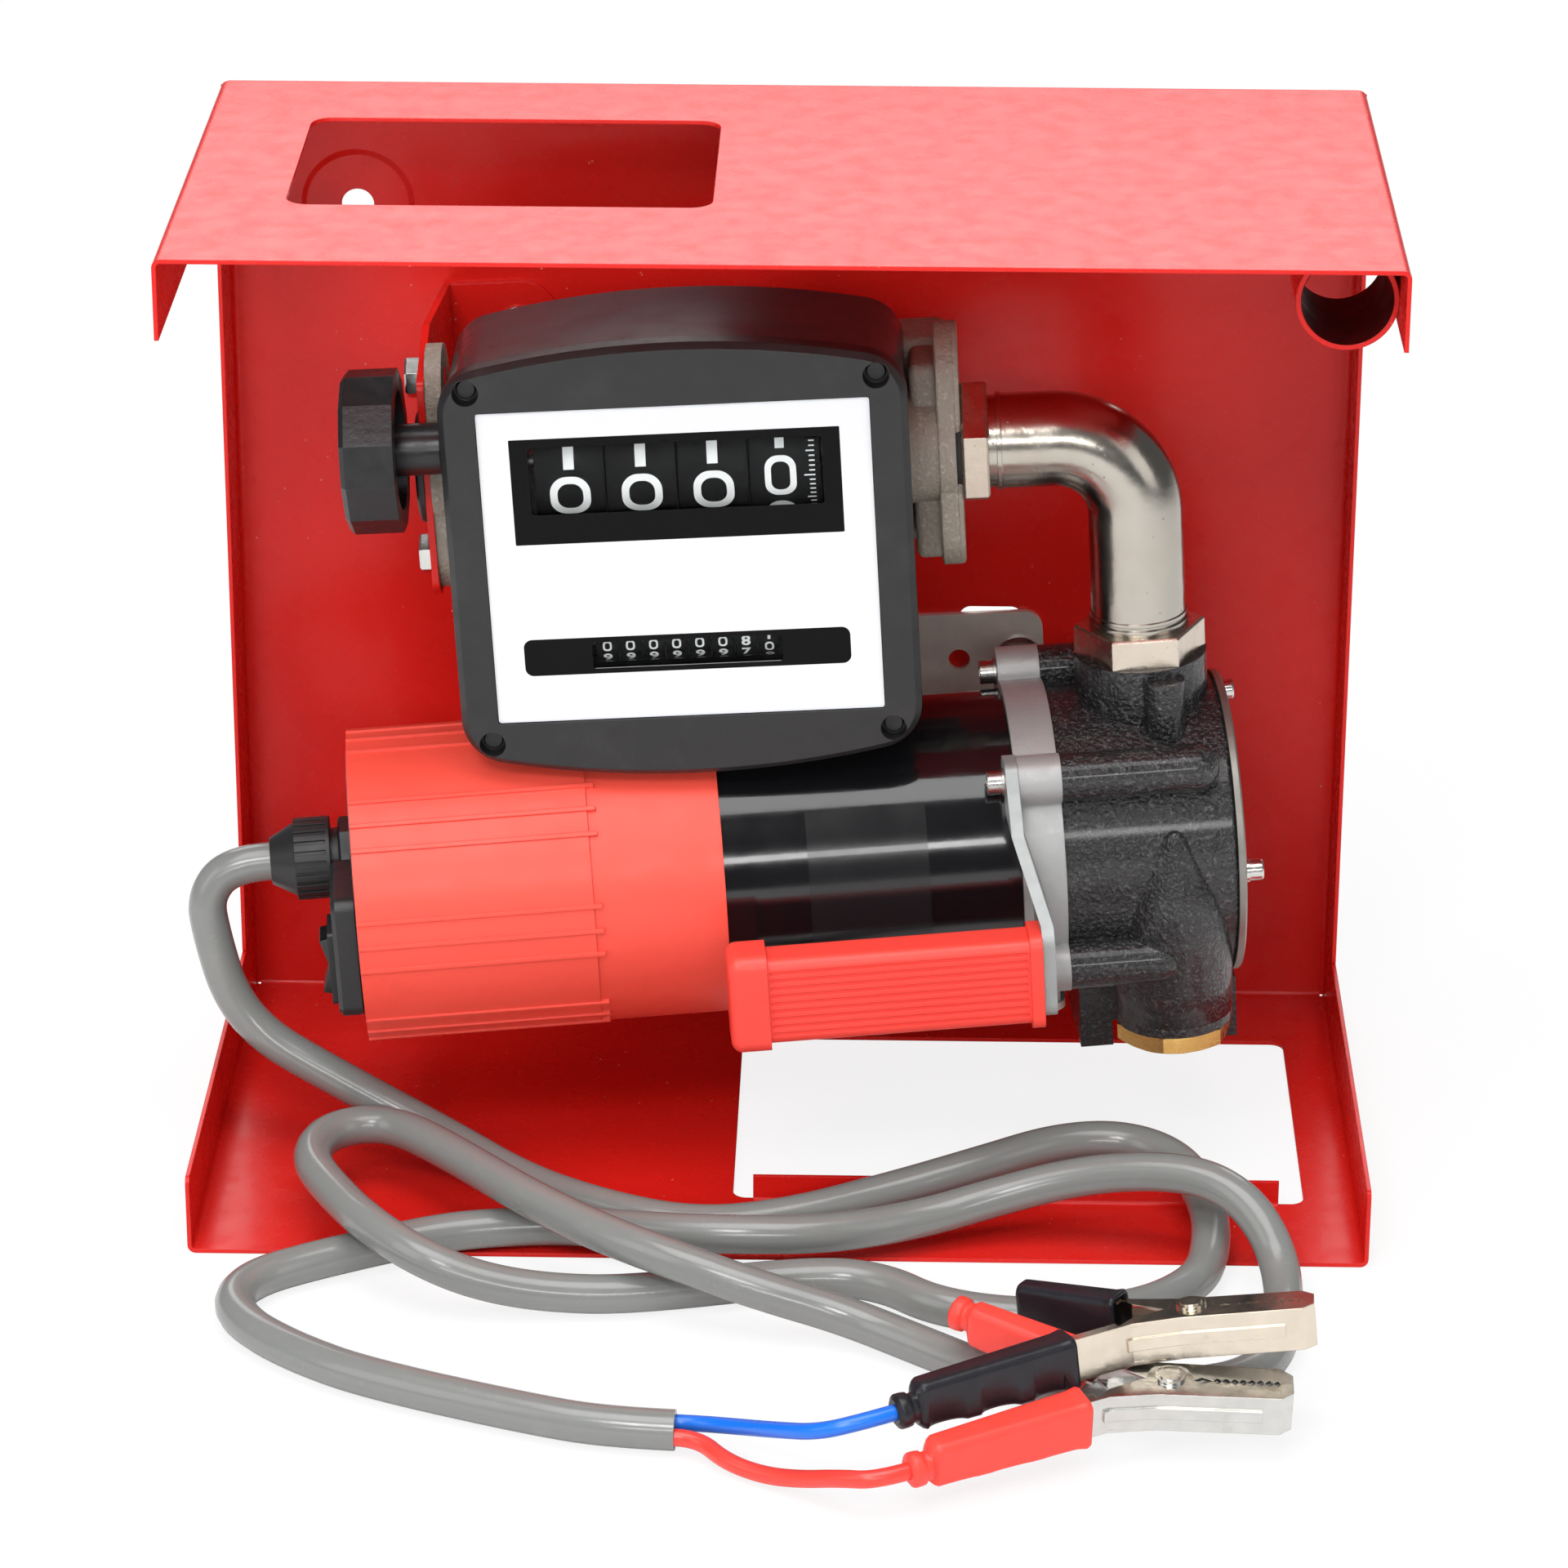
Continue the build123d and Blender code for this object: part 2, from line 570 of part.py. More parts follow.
def pump_body():
    body = rod_x(DRUM_R, DRUM_LEFT, DRUM_RIGHT)
    rim = body.edges().filter_by(GeomType.CIRCLE).sort_by(Axis.X)[-1]
    body = fillet(rim, 1.5)
    for angle in lug_angles():
        y, z = lug_place(angle)
        ends = 18.0 if 0 < angle < 90 else 2.0
        body += rod_x(LUG_R, DRUM_LEFT, ends, y, z)
        body += Pos(ends, y, z) * Sphere(LUG_R)
    body += rod_z(OUTLET_BOSS_R, 30, OUTLET_TOP, OUTLET_X)
    body += rod_z(7.5, 38, OUTLET_TOP - 3, OUTLET_X + 5.5, -OUTLET_BOSS_R)
    body += rod_z(INLET_R, INLET_BOTTOM, INLET_DOME_Z, INLET_X, INLET_Y)
    body += Pos(INLET_X, INLET_Y, INLET_DOME_Z) * Sphere(INLET_R)
    foot = block(FOOT_LEFT, DRUM_RIGHT - 2, -8, FOOT_DEPTH - 8, FOOT_BOTTOM, -30)
    foot += block(FOOT_LEFT, FOOT_RIGHT, -8, FOOT_DEPTH - 8, FOOT_BOTTOM, -DRUM_R - 6)
    foot -= block(FOOT_LEFT + 12, FOOT_RIGHT - 12, -20, FOOT_DEPTH, FOOT_BOTTOM - 1, FOOT_BOTTOM + 10)
    body += foot
    body += rod_y(BYPASS_BORE_R + 5, 10, SPRING_END + 1, OUTLET_X, BYPASS_Z)
    chamber_left = DRUM_RIGHT - CHAMBER_WIDTH
    body -= rod_x(CHAMBER_R, chamber_left, DRUM_RIGHT + 1, 0, CHAMBER_LIFT)
    body -= rod_x(SHAFT_R + RUN_CLEARANCE, DRUM_LEFT - 1, DRUM_RIGHT)
    body -= rod_x(BEARING_R, DRUM_LEFT - 1, DRUM_LEFT + BEARING_WIDTH)
    body -= rod_z(OUTLET_PORT_R, 28, OUTLET_TOP + 1, OUTLET_X)
    body -= rod_z(BUSH_THREAD_R, INLET_BOTTOM - 1, INLET_BOTTOM + BUSH_THREAD_LENGTH + 2, INLET_X, INLET_Y)
    body -= rod_z(INLET_PASSAGE_R, INLET_BOTTOM, INLET_DOME_Z, INLET_X, INLET_Y)
    body -= rod_y(SIDE_PASSAGE_R, INLET_Y, SIDE_PASSAGE_END, INLET_X, INLET_DOME_Z - SIDE_PASSAGE_DROP)
    body -= rod_y(BYPASS_BORE_R, 0, SPRING_END + 2, OUTLET_X, BYPASS_Z)
    body -= block(DRUM_LEFT - 1, FOOT_LEFT - 0.6, -40, 60, FOOT_BOTTOM - 1, SHELF_Z + 0.3)
    for angle in lug_angles():
        y, z = lug_place(angle)
        body -= rod_x(SCREW_M5_R, DRUM_LEFT - 1, DRUM_LEFT + 12, y, z)
    for y, z in cover_screw_places():
        body -= rod_x(COVER_SCREW_R, DRUM_RIGHT - 12, DRUM_RIGHT + 1, y, z)
    return body


def cover_screw_places():
    places = []
    for k in range(COVER_SCREWS):
        angle = radians(180 - 360 / COVER_SCREWS * k)
        places.append((COVER_SCREW_CIRCLE * cos(angle), COVER_SCREW_CIRCLE * sin(angle)))
    return places


def pump_cover():
    cover = rod_x(DRUM_R + 1, DRUM_RIGHT, DRUM_RIGHT + COVER_THICK)
    cover = chamfer(cover.edges().group_by(Axis.X)[-1], 0.6)
    for y, z in cover_screw_places():
        cover -= rod_x(COVER_SCREW_R + 0.3, DRUM_RIGHT - 1, DRUM_RIGHT + 5, y, z)
    return cover


def cover_screws():
    seat = DRUM_RIGHT + COVER_THICK
    pieces = []
    for y, z in cover_screw_places():
        under = seat + COVER_WASHER
        head = rod_x(COVER_WASHER_R, seat, under, y, z) + rod_x(COVER_HEAD_R, seat, under + COVER_HEAD, y, z)
        head = chamfer(head.edges().group_by(Axis.X)[-1], 0.6)
        head -= prism_x(Pos(y, z) * hexagon(4), under + COVER_HEAD / 2, under + COVER_HEAD + 1)
        pieces.append(head + rod_x(COVER_SCREW_R, seat - COVER_THICK - COVER_SCREW_DEPTH, seat, y, z))
    return Compound(pieces)


def inlet_bush():
    low = INLET_BOTTOM - BUSH_HEX
    bush = extrude(Plane((INLET_X, INLET_Y, low)) * Rot(0, 0, 12) * hexagon(BUSH_AF), BUSH_HEX)
    cone = Cone(BUSH_AF / 2 + 0.2, BUSH_AF / 2 + 0.2 + 2 * BUSH_HEX, BUSH_HEX)
    bush &= Pos(INLET_X, INLET_Y, low + BUSH_HEX / 2) * cone
    bush += rod_z(BUSH_THREAD_R, INLET_BOTTOM, INLET_BOTTOM + BUSH_THREAD_LENGTH, INLET_X, INLET_Y)
    return bush - rod_z(BUSH_BORE_R, low - 1, INLET_BOTTOM + BUSH_THREAD_LENGTH + 1, INLET_X, INLET_Y)


def pump_rotor():
    """The slotted rotor, keyed on the end of the motor shaft."""
    x1 = DRUM_RIGHT - (CHAMBER_WIDTH - ROTOR_WIDTH) / 2
    x0 = x1 - ROTOR_WIDTH
    rotor = rod_x(ROTOR_R, x0, x1) - rod_x(SHAFT_R, x0 - 1, x1 + 1)
    slot = block(x0 - 1, x1 + 1, -VANE_THICK / 2 - SLOT_PLAY, VANE_THICK / 2 + SLOT_PLAY,
                 ROTOR_R - VANE_HEIGHT - 1, ROTOR_R + 5)
    for k in range(VANES):
        rotor -= Rot(360 / VANES * k, 0, 0) * slot
    return rotor


def rotor_vanes():
    x1 = DRUM_RIGHT - (CHAMBER_WIDTH - ROTOR_WIDTH) / 2
    vane = block(x1 - ROTOR_WIDTH, x1, -VANE_THICK / 2, VANE_THICK / 2,
                 ROTOR_R - VANE_HEIGHT - 0.4, ROTOR_R - 0.4)
    return Compound([Rot(360 / VANES * k, 0, 0) * vane for k in range(VANES)])


def bypass_poppet():
    cup = rod_y(POPPET_R, POPPET_FRONT, POPPET_FRONT + POPPET_LENGTH, OUTLET_X, BYPASS_Z)
    nose = cup.edges().filter_by(GeomType.CIRCLE).sort_by(Axis.Y)[0]
    cup = chamfer(nose, 2.5)
    hollow = SPRING_COIL_R + SPRING_WIRE_R + 0.4
    return cup - rod_y(hollow, POPPET_FRONT + POPPET_FLOOR, POPPET_FRONT + POPPET_LENGTH + 1, OUTLET_X, BYPASS_Z)


def biarc(start, start_way, end, end_way):
    """Two tangent arcs from one point and direction to another."""
    ways = start_way + end_way
    gap = end - start
    a = ways.dot(ways) - 4
    b = gap.dot(ways)
    reach = (b - sqrt(b * b - a * gap.dot(gap))) / a
    first = start + start_way * reach
    last = end - end_way * reach
    middle = (first + last) * 0.5
    return [TangentArc(start, middle, tangent=start_way), TangentArc(middle, end, tangent=last - first)]


def coil_point(r, pitch, turn):
    """A point of a coil about Z and the direction of the wire there."""
    a = 2 * pi * turn
    rise = pitch / (2 * pi)
    way = Vector(-r * sin(a), r * cos(a), rise).normalized()
    return Vector(r * cos(a), r * sin(a), pitch * turn), way


def coil_edges(r, pitch, first_turn, last_turn):
    quarters = round((last_turn - first_turn) * 4)
    places = [coil_point(r, pitch, first_turn + k / 4) for k in range(quarters + 1)]
    edges = []
    for (start, start_way), (end, end_way) in zip(places, places[1:]):
        edges += biarc(start, start_way, end, end_way)
    return edges


def wire_form(edges, r):
    path = Wire(edges)
    return sweep(Plane(path @ 0, z_dir=path % 0) * Circle(r), path)


def bypass_spring():
    """A coil that rides in the poppet and stops short of the plug by the travel."""
    y0 = POPPET_FRONT + POPPET_FLOOR + SPRING_WIRE_R
    length = SPRING_END - BYPASS_TRAVEL - BYPASS_PLAY - SPRING_WIRE_R - y0
    pitch = length / SPRING_TURNS
    print("bypass spring gap", round(pitch - 2 * SPRING_WIRE_R, 2))
    coil = wire_form(coil_edges(SPRING_COIL_R, pitch, 0, SPRING_TURNS), SPRING_WIRE_R)
    return Pos(OUTLET_X, y0, BYPASS_Z) * Rot(-90, 0, 0) * coil


def bypass_plug():
    plug = prism_y(Pos(OUTLET_X, BYPASS_Z) * hexagon(PLUG_AF), SPRING_END + 1, SPRING_END + 7)
    plug = chamfer(plug.edges().group_by(Axis.Y)[-1], 0.8)
    return plug + rod_y(BYPASS_BORE_R, SPRING_END, SPRING_END + 1, OUTLET_X, BYPASS_Z)


# Motor


def motor_flange():
    """Cast ring between the motor and the pump, with five lugs and a foot pad."""
    ring = rod_x(FLANGE_R, FLANGE_LEFT, DRUM_LEFT)
    for angle in lug_angles():
        y, z = lug_place(angle)
        ring += rod_x(LUG_R + 0.4, FLANGE_LEFT, DRUM_LEFT, y, z)
    pad_low = SHELF_Z
    ring += block(FLANGE_LEFT, DRUM_LEFT, -14, 14, pad_low, -40)
    ring -= block(FLANGE_LEFT - 1, DRUM_LEFT + 1, -60, 60, pad_low - 20, pad_low)
    ring -= rod_x(CAN_R - CAN_WALL - 8, FLANGE_LEFT - 1, DRUM_LEFT - 6)
    ring -= rod_x(BEARING_R, FLANGE_LEFT - 1, DRUM_LEFT + 1)
    can_seat = rod_x(CAN_R, FLANGE_LEFT - 1, FLANGE_LEFT + SPIGOT)
    ring -= can_seat - rod_x(CAN_R - CAN_WALL, FLANGE_LEFT - 2, FLANGE_LEFT + SPIGOT + 1)
    for angle in lug_angles():
        y, z = lug_place(angle)
        ring -= rod_x(SCREW_M5_R + 0.3, FLANGE_LEFT - 1, DRUM_LEFT + 1, y, z)
    ring -= rod_z(3.4, pad_low - 1, pad_low + 12, flange_bolt_x())
    return ring


def flange_screws():
    """Socket screws through the lugs; the front one also holds the handle."""
    pieces = []
    for angle in lug_angles():
        y, z = lug_place(angle)
        held = HANDLE_THICK if 0 < angle < 90 else 0.0
        seat = FLANGE_LEFT - held
        head = rod_x(4.3, seat - 6.0, seat - 1.0, y, z) + rod_x(5.0, seat - 1.0, seat, y, z)
        head -= prism_x(Pos(y, z) * hexagon(4), seat - 7.0, seat - 3.0)
        pieces.append(head + rod_x(SCREW_M5_R, seat, DRUM_LEFT + 11, y, z))
    seat = SHELF_Z - PUMP_BRACKET_THICK
    x = flange_bolt_x()
    bolt = extrude(Plane((x, 0, seat - 4.0)) * hexagon(10), 4.0)
    pieces.append(bolt + rod_z(3.0, seat, SHELF_Z + 11, x))
    return Compound(pieces)


def motor_can():
    can = rod_x(CAN_R, CAN_LEFT, FLANGE_LEFT + SPIGOT)
    return can - rod_x(CAN_R - CAN_WALL, CAN_LEFT - 1, FLANGE_LEFT + SPIGOT + 1)


def magnet_span():
    middle = (CAN_LEFT + FLANGE_LEFT) / 2
    return middle - MAGNET_LENGTH / 2, middle + MAGNET_LENGTH / 2


def motor_magnets():
    x0, x1 = magnet_span()
    outer = CAN_R - CAN_WALL
    ring = rod_x(outer, x0, x1) - rod_x(outer - MAGNET_THICK, x0 - 1, x1 + 1)
    gap = 180 - MAGNET_ANGLE
    half = outer * tan(radians(gap / 2))
    wedge = make_face(Polyline([(0, 0), (-2 * half, 2 * outer), (2 * half, 2 * outer)], close=True))
    cutter = prism_x(wedge, x0 - 2, x1 + 2)
    return ring - cutter - Rot(180, 0, 0) * cutter


def motor_armature():
    """Shaft, slotted core and commutator, pressed together as one turning piece."""
    x0, x1 = magnet_span()
    shaft_end = DRUM_RIGHT - 0.3
    armature = rod_x(SHAFT_R, CAP_LEFT + 8, shaft_end)
    core = rod_x(ARMATURE_R, x0 + 5, x1 - 5)
    slot = block(x0, x1, -2.2, 2.2, ARMATURE_R - 9, ARMATURE_R + 1)
    for k in range(ARMATURE_SLOTS):
        core -= Rot(360 / ARMATURE_SLOTS * k, 0, 0) * slot
    armature += core
    armature += rod_x(ARMATURE_R - 10, x1 - 5, x1 + 8) + rod_x(ARMATURE_R - 10, x0 - 8, x0 + 5)
    armature += rod_x(16, x0 - 34, x0 - 12)
    return armature


def bearing_starts():
    return [DRUM_LEFT - BEARING_WIDTH, CAN_LEFT + 2]


def shaft_bearings():
    pieces = []
    for x0 in bearing_starts():
        x1 = x0 + BEARING_WIDTH
        ring = rod_x(BEARING_R, x0, x1) - rod_x(SHAFT_R + RUN_CLEARANCE, x0 - 1, x1 + 1)
        groove = rod_x(BEARING_R - 3, x0 - 1, x0 + 1) - rod_x(SHAFT_R + 3, x0 - 2, x0 + 2)
        pieces.append(ring - groove)
    return Compound(pieces)


def motor_end_cap():
    """The moulded cap that closes the can and carries the rear bearing."""
    cap = rod_x(CAN_R, CAP_LEFT, CAN_LEFT)
    cap = fillet(cap.edges().group_by(Axis.X)[0], 3.0)
    cap += rod_x(CAN_R - CAN_WALL, CAN_LEFT, CAN_LEFT + 6)
    cap -= rod_x(CAN_R - CAN_WALL - 4, CAN_LEFT - 16, CAN_LEFT + 7)
    seat = bearing_starts()[1]
    cap += rod_x(BEARING_R + 4, CAN_LEFT - 16, seat + BEARING_WIDTH)
    cap -= rod_x(BEARING_R, seat, seat + BEARING_WIDTH + 1)
    cap -= rod_x(SHAFT_R + 1, CAP_LEFT + 5, seat + 1)
    return cap


def motor_sleeve():
    """A soft ribbed sleeve pushed over the motor's end, thinner where it is plain."""
    bore = CAN_R + SLEEVE_GAP
    plain = bore + SLEEVE_WALL
    sleeve = rod_x(plain, SLEEVE_LEFT, SLEEVE_RIGHT)
    sleeve += rod_x(plain + SLEEVE_STEP, SLEEVE_LEFT, SLEEVE_STEP_X)
    for group in range(RIB_GROUPS):
        for rib in range(RIBS_IN_GROUP):
            angle = group * 360 / RIB_GROUPS + (rib - (RIBS_IN_GROUP - 1) / 2) * RIB_PITCH
            top = plain + SLEEVE_STEP + RIB_HEIGHT
            strip = block(SLEEVE_LEFT, SLEEVE_STEP_X + 3, -RIB_WIDTH / 2, RIB_WIDTH / 2, plain - 1, top)
            sleeve += Rot(angle, 0, 0) * strip
    return sleeve - rod_x(bore, SLEEVE_LEFT - 1, SLEEVE_RIGHT + 1)


def switch_box():
    y0 = SWITCH_BOX_Y - SWITCH_BOX_WIDTH / 2
    z0 = SWITCH_BOX_Z - SWITCH_BOX_HEIGHT / 2
    box = block(SWITCH_BOX_LEFT, CAP_LEFT, y0, y0 + SWITCH_BOX_WIDTH, z0, z0 + SWITCH_BOX_HEIGHT)
    box = fillet(box.edges().filter_by(Axis.X), 5.0)
    box = chamfer(box.edges().group_by(Axis.X)[0], 1.5)
    frame_y = ROCKER_WIDTH / 2 + 3
    frame_z = ROCKER_HEIGHT / 2 + 3
    frame = block(SWITCH_BOX_LEFT - 2.5, SWITCH_BOX_LEFT, SWITCH_BOX_Y - frame_y, SWITCH_BOX_Y + frame_y,
                  ROCKER_Z - frame_z, ROCKER_Z + frame_z)
    box += fillet(frame.edges().filter_by(Axis.X), 1.5)
    half_y = ROCKER_WIDTH / 2 + ROCKER_PLAY
    half_z = ROCKER_HEIGHT / 2 + ROCKER_PLAY
    box -= block(SWITCH_BOX_LEFT - 4, CAP_LEFT - 1.5, SWITCH_BOX_Y - half_y, SWITCH_BOX_Y + half_y,
                 ROCKER_Z - half_z, ROCKER_Z + half_z)
    reach = half_y + ROCKER_PIN
    return box - rod_y(ROCKER_PIN_R + RUN_CLEARANCE, SWITCH_BOX_Y - reach, SWITCH_BOX_Y + reach,
                       SWITCH_BOX_LEFT, ROCKER_Z)


def switch_rocker():
    """A rocker that tips on two pins in the sides of its frame."""
    x = SWITCH_BOX_LEFT
    half = ROCKER_HEIGHT / 2
    points = [(x - 1.0, -half), (x - 5.5, -half + 1.0), (x - 2.6, 0), (x - 5.5, half - 1.0),
              (x - 1.0, half), (x + 3.0, 3.0), (x + 3.0, -3.0)]
    face = make_face(Polyline(points, close=True))
    y = SWITCH_BOX_Y
    rocker = Pos(0, 0, ROCKER_Z) * prism_y(face, y - ROCKER_WIDTH / 2, y + ROCKER_WIDTH / 2)
    reach = ROCKER_WIDTH / 2 + ROCKER_PLAY + ROCKER_PIN - 2 * RUN_CLEARANCE
    return rocker + rod_y(ROCKER_PIN_R, y - reach, y + reach, x, ROCKER_Z)


def gland_body():
    hex_left = CAP_LEFT - 5.5
    body = prism_x(Pos(GLAND_Y, GLAND_Z) * hexagon(25), hex_left, CAP_LEFT)
    body = chamfer(body.edges().group_by(Axis.X)[0], 0.8)
    body += rod_x(10.5, hex_left - 9, hex_left, GLAND_Y, GLAND_Z)
    return body - rod_x(CABLE_R, CAP_LEFT - 20, CAP_LEFT + 1, GLAND_Y, GLAND_Z)


def gland_nut():
    """The domed nut, with ridges for the fingers."""
    right = CAP_LEFT - 8.5
    left = right - 13.0
    nut = rod_x(GLAND_NUT_R, left, right, GLAND_Y, GLAND_Z)
    groove = block(left - 1, right - 1.5, -0.7, 0.7, GLAND_NUT_R - 0.9, GLAND_NUT_R + 1)
    for k in range(24):
        nut -= Pos(0, GLAND_Y, GLAND_Z) * Rot(15 * k, 0, 0) * groove
    dome = Pos(left - 4.5, GLAND_Y, GLAND_Z) * Rot(0, 90, 0) * Cone(CABLE_R + 1.5, GLAND_NUT_R - 1.5, 9)
    nut += dome
    nut -= rod_x(10.6, left + 2, right + 1, GLAND_Y, GLAND_Z)
    return nut - rod_x(CABLE_R, left - 12, right, GLAND_Y, GLAND_Z)


# Handle


def handle_bracket():
    """A flat zinc arm from the front lug down to the grip, and a tongue inside it."""
    lug_y, lug_z = lug_place(lug_angles()[1])
    low = HANDLE_Z - 14
    outline = [(lug_y + 9, lug_z + 8), (lug_y - 6, lug_z + 9), (lug_y - 12, lug_z),
               (HANDLE_Y - 8, HANDLE_Z + 16), (HANDLE_Y - 9, low), (HANDLE_Y + 9, low),
               (HANDLE_Y + 16, HANDLE_Z + 8), (lug_y + 8, lug_z - 12)]
    shape = prism_x(plate_sketch(outline, 5.0), FLANGE_LEFT - 20, FLANGE_LEFT + 20)
    x = FLANGE_LEFT
    t = HANDLE_THICK
    joggle = HANDLE_JOGGLE
    band = [(x, lug_z + 12), (x - t, lug_z + 12), (x - t, lug_z - 12), (x - t + joggle, HANDLE_Z + 20),
            (x - t + joggle, low - 2), (x + joggle, low - 2), (x + joggle, HANDLE_Z + 20), (x, lug_z - 12)]
    arm = prism_y(make_face(Polyline(band, close=True)), HANDLE_Y - 20, 0) & shape
    arm -= rod_x(SCREW_M5_R + 0.3, x - t - 1, x + 1, lug_y, lug_z)
    arm -= rod_x(CAN_R + 0.6, x - 20, x) + rod_x(FLANGE_R + 0.6, x, x + 20)
    tongue = block(GRIP_LEFT + 12, x + joggle - t / 2, HANDLE_Y - t / 2, HANDLE_Y + t / 2, low + 2, HANDLE_Z + 12)
    return arm + tongue


def handle_grip():
    """The ribbed plastic grip over the tongue, with a swollen cap and a collar."""
    body = RectangleRounded(GRIP_DEPTH, GRIP_HEIGHT, 4.0)
    centre = Pos(HANDLE_Y, HANDLE_Z)
    cap = RectangleRounded(GRIP_DEPTH + 4, GRIP_CAP, 5.0)
    cap_end = GRIP_LEFT + 14
    grip = prism_x(centre * body, GRIP_LEFT + 3, GRIP_RIGHT)
    end = prism_x(centre * cap, GRIP_LEFT, cap_end)
    grip += fillet(end.edges().group_by(Axis.X)[0], 4.0)
    collar = prism_x(centre * RectangleRounded(GRIP_DEPTH + 3, GRIP_HEIGHT + 3.5, 5.0), GRIP_RIGHT - 4.5, GRIP_RIGHT)
    grip += collar
    ribs = 9
    pitch = (GRIP_HEIGHT - 9) / (ribs - 1)
    for k in range(ribs):
        z = HANDLE_Z + (k - (ribs - 1) / 2) * pitch
        for side in (-1, 1):
            y = HANDLE_Y + side * GRIP_DEPTH / 2
            grip -= block(cap_end + 1, GRIP_RIGHT - 5.5, y - 0.6, y + 0.6, z - 0.6, z + 0.6)
    low = HANDLE_Z - 12
    t = HANDLE_THICK
    return grip - block(GRIP_LEFT + 12, GRIP_RIGHT + 1, HANDLE_Y - t / 2, HANDLE_Y + t / 2, low, HANDLE_Z + 12)


# Elbow


def outlet_nut():
    low = OUTLET_TOP
    nut = extrude(Plane((OUTLET_X, 0, low)) * Rot(0, 0, 4) * hexagon(NUT_AF), LOW_NUT_HEIGHT)
    nut = chamfer(nut.edges().group_by(Axis.Z)[-1], 0.7)
    return nut - rod_z(PIPE_R - 0.5, low - 1, low + LOW_NUT_HEIGHT + 1, OUTLET_X)


def outlet_elbow():
    start = OUTLET_TOP + 0.2
    end_x = BODY_RIGHT + SEAL_THICK
    path = Polyline((OUTLET_X, 0, start), (OUTLET_X, 0, FLOW_Z), (end_x, 0, FLOW_Z))
    path = fillet_path(path, ELBOW_R)
    outer = sweep(Plane(path @ 0, z_dir=path % 0) * Circle(PIPE_R), path)
    collar = OUTLET_TOP + LOW_NUT_HEIGHT
    outer += rod_z(PIPE_R + 0.9, collar, collar + 2.2, OUTLET_X)
    outer += rod_z(PIPE_R + 0.5, collar + 3.4, collar + 4.8, OUTLET_X)
    nut_end = end_x + METER_NUT_WIDTH
    outer += rod_x(PIPE_R + 0.6, nut_end, nut_end + 1.6, 0, FLOW_Z)
    outer -= rod_z(PIPE_R + 1, start - 1, collar, OUTLET_X) - rod_z(PIPE_R - 0.5, start - 2, collar + 1, OUTLET_X)
    side = rod_x(PIPE_R + 1, end_x - 1, nut_end, 0, FLOW_Z)
    outer -= side - rod_x(PIPE_R - 0.5, end_x - 2, nut_end + 1, 0, FLOW_Z)
    inner = sweep(Plane(path @ 0, z_dir=path % 0) * Circle(PIPE_R - PIPE_WALL), path)
    return outer - inner


def fillet_path(line, r):
    """A polyline's corners as tangent arcs of one radius."""
    return FilletPolyline([line @ 0] + inner_points(line) + [line @ 1], radius=r)


def inner_points(line):
    points = []
    edges = line.edges()
    for edge in list(edges)[:-1]:
        points.append(edge @ 1)
    return points


def meter_nut():
    x0 = BODY_RIGHT + SEAL_THICK
    nut = prism_x(Pos(0, FLOW_Z) * hexagon(NUT_AF), x0, x0 + METER_NUT_WIDTH)
    nut = chamfer(nut.edges().group_by(Axis.X)[-1], 0.7)
    return nut - rod_x(PIPE_R - 0.5, x0 - 1, x0 + METER_NUT_WIDTH + 1, 0, FLOW_Z)


def flange_seal():
    seal = rod_x(PIPE_R + 2.5, BODY_RIGHT, BODY_RIGHT + SEAL_THICK, 0, FLOW_Z)
    return seal - rod_x(PIPE_R - PIPE_WALL, BODY_RIGHT - 1, BODY_RIGHT + SEAL_THICK + 1, 0, FLOW_Z)


# Meter. The case and what it holds are drawn about the middle of the face.


def case_outline(grow=0.0):
    """The front outline: straight sides, and a top and bottom with a low crown."""
    w = CASE_WIDTH / 2 + grow
    h = CASE_HEIGHT / 2 + grow
    side = h - CASE_CROWN
    top = ThreePointArc((-w, side), (0, h), (w, side))
    right = Line((w, side), (w, -side))
    bottom = ThreePointArc((w, -side), (0, -h), (-w, -side))
    left = Line((-w, -side), (-w, side))
    face = make_face([top, right, bottom, left])
    return fillet(face.vertices(), CASE_CORNER_R + grow)


def counter_case():
    """The deep plastic hood behind the bezel, open at the back over the body."""
    front = CASE_FRONT + BEZEL_DEPTH
    case = prism_y(case_outline(-1.5), front, CASE_REAR)
    case -= prism_y(case_outline(-1.5 - CASE_WALL), front + CASE_WALL, CASE_REAR + 1)
    flow = FLOW_Z - METER_Z
    for x0, x1 in ((-CASE_WIDTH, 0), (0, CASE_WIDTH)):
        neck = rod_x(PORT_R + 0.6, x0, x1, 0, flow)
        case -= neck + block(x0, x1, 0, CASE_REAR + 1, flow - PORT_R - 0.6, flow + PORT_R + 0.6)
    case -= digit_openings(front - 1, front + CASE_WALL + 1)
    case -= motor_room()
    case -= rod_x(AXLE_R + 1.2, -CASE_WIDTH, -CASE_WIDTH / 2 + 20, KNOB_Y, KNOB_Z - METER_Z)
    for x in (-SCREW_HOLE_X, SCREW_HOLE_X):
        for z in (-SCREW_HOLE_Z, SCREW_HOLE_Z):
            case -= rod_y(1.6, front - 1, front + CASE_WALL + 1, x, z)
    return case


def motor_room():
    """The space over the motor, about the middle of the face."""
    reach = CAN_R + SLEEVE_GAP + SLEEVE_WALL + SLEEVE_STEP + RIB_HEIGHT + 1.5
    room = Rot(0, 0, PUMP_YAW) * rod_x(reach, CAP_LEFT, DRUM_LEFT)
    return Pos(-METER_X, 0, -METER_Z) * room


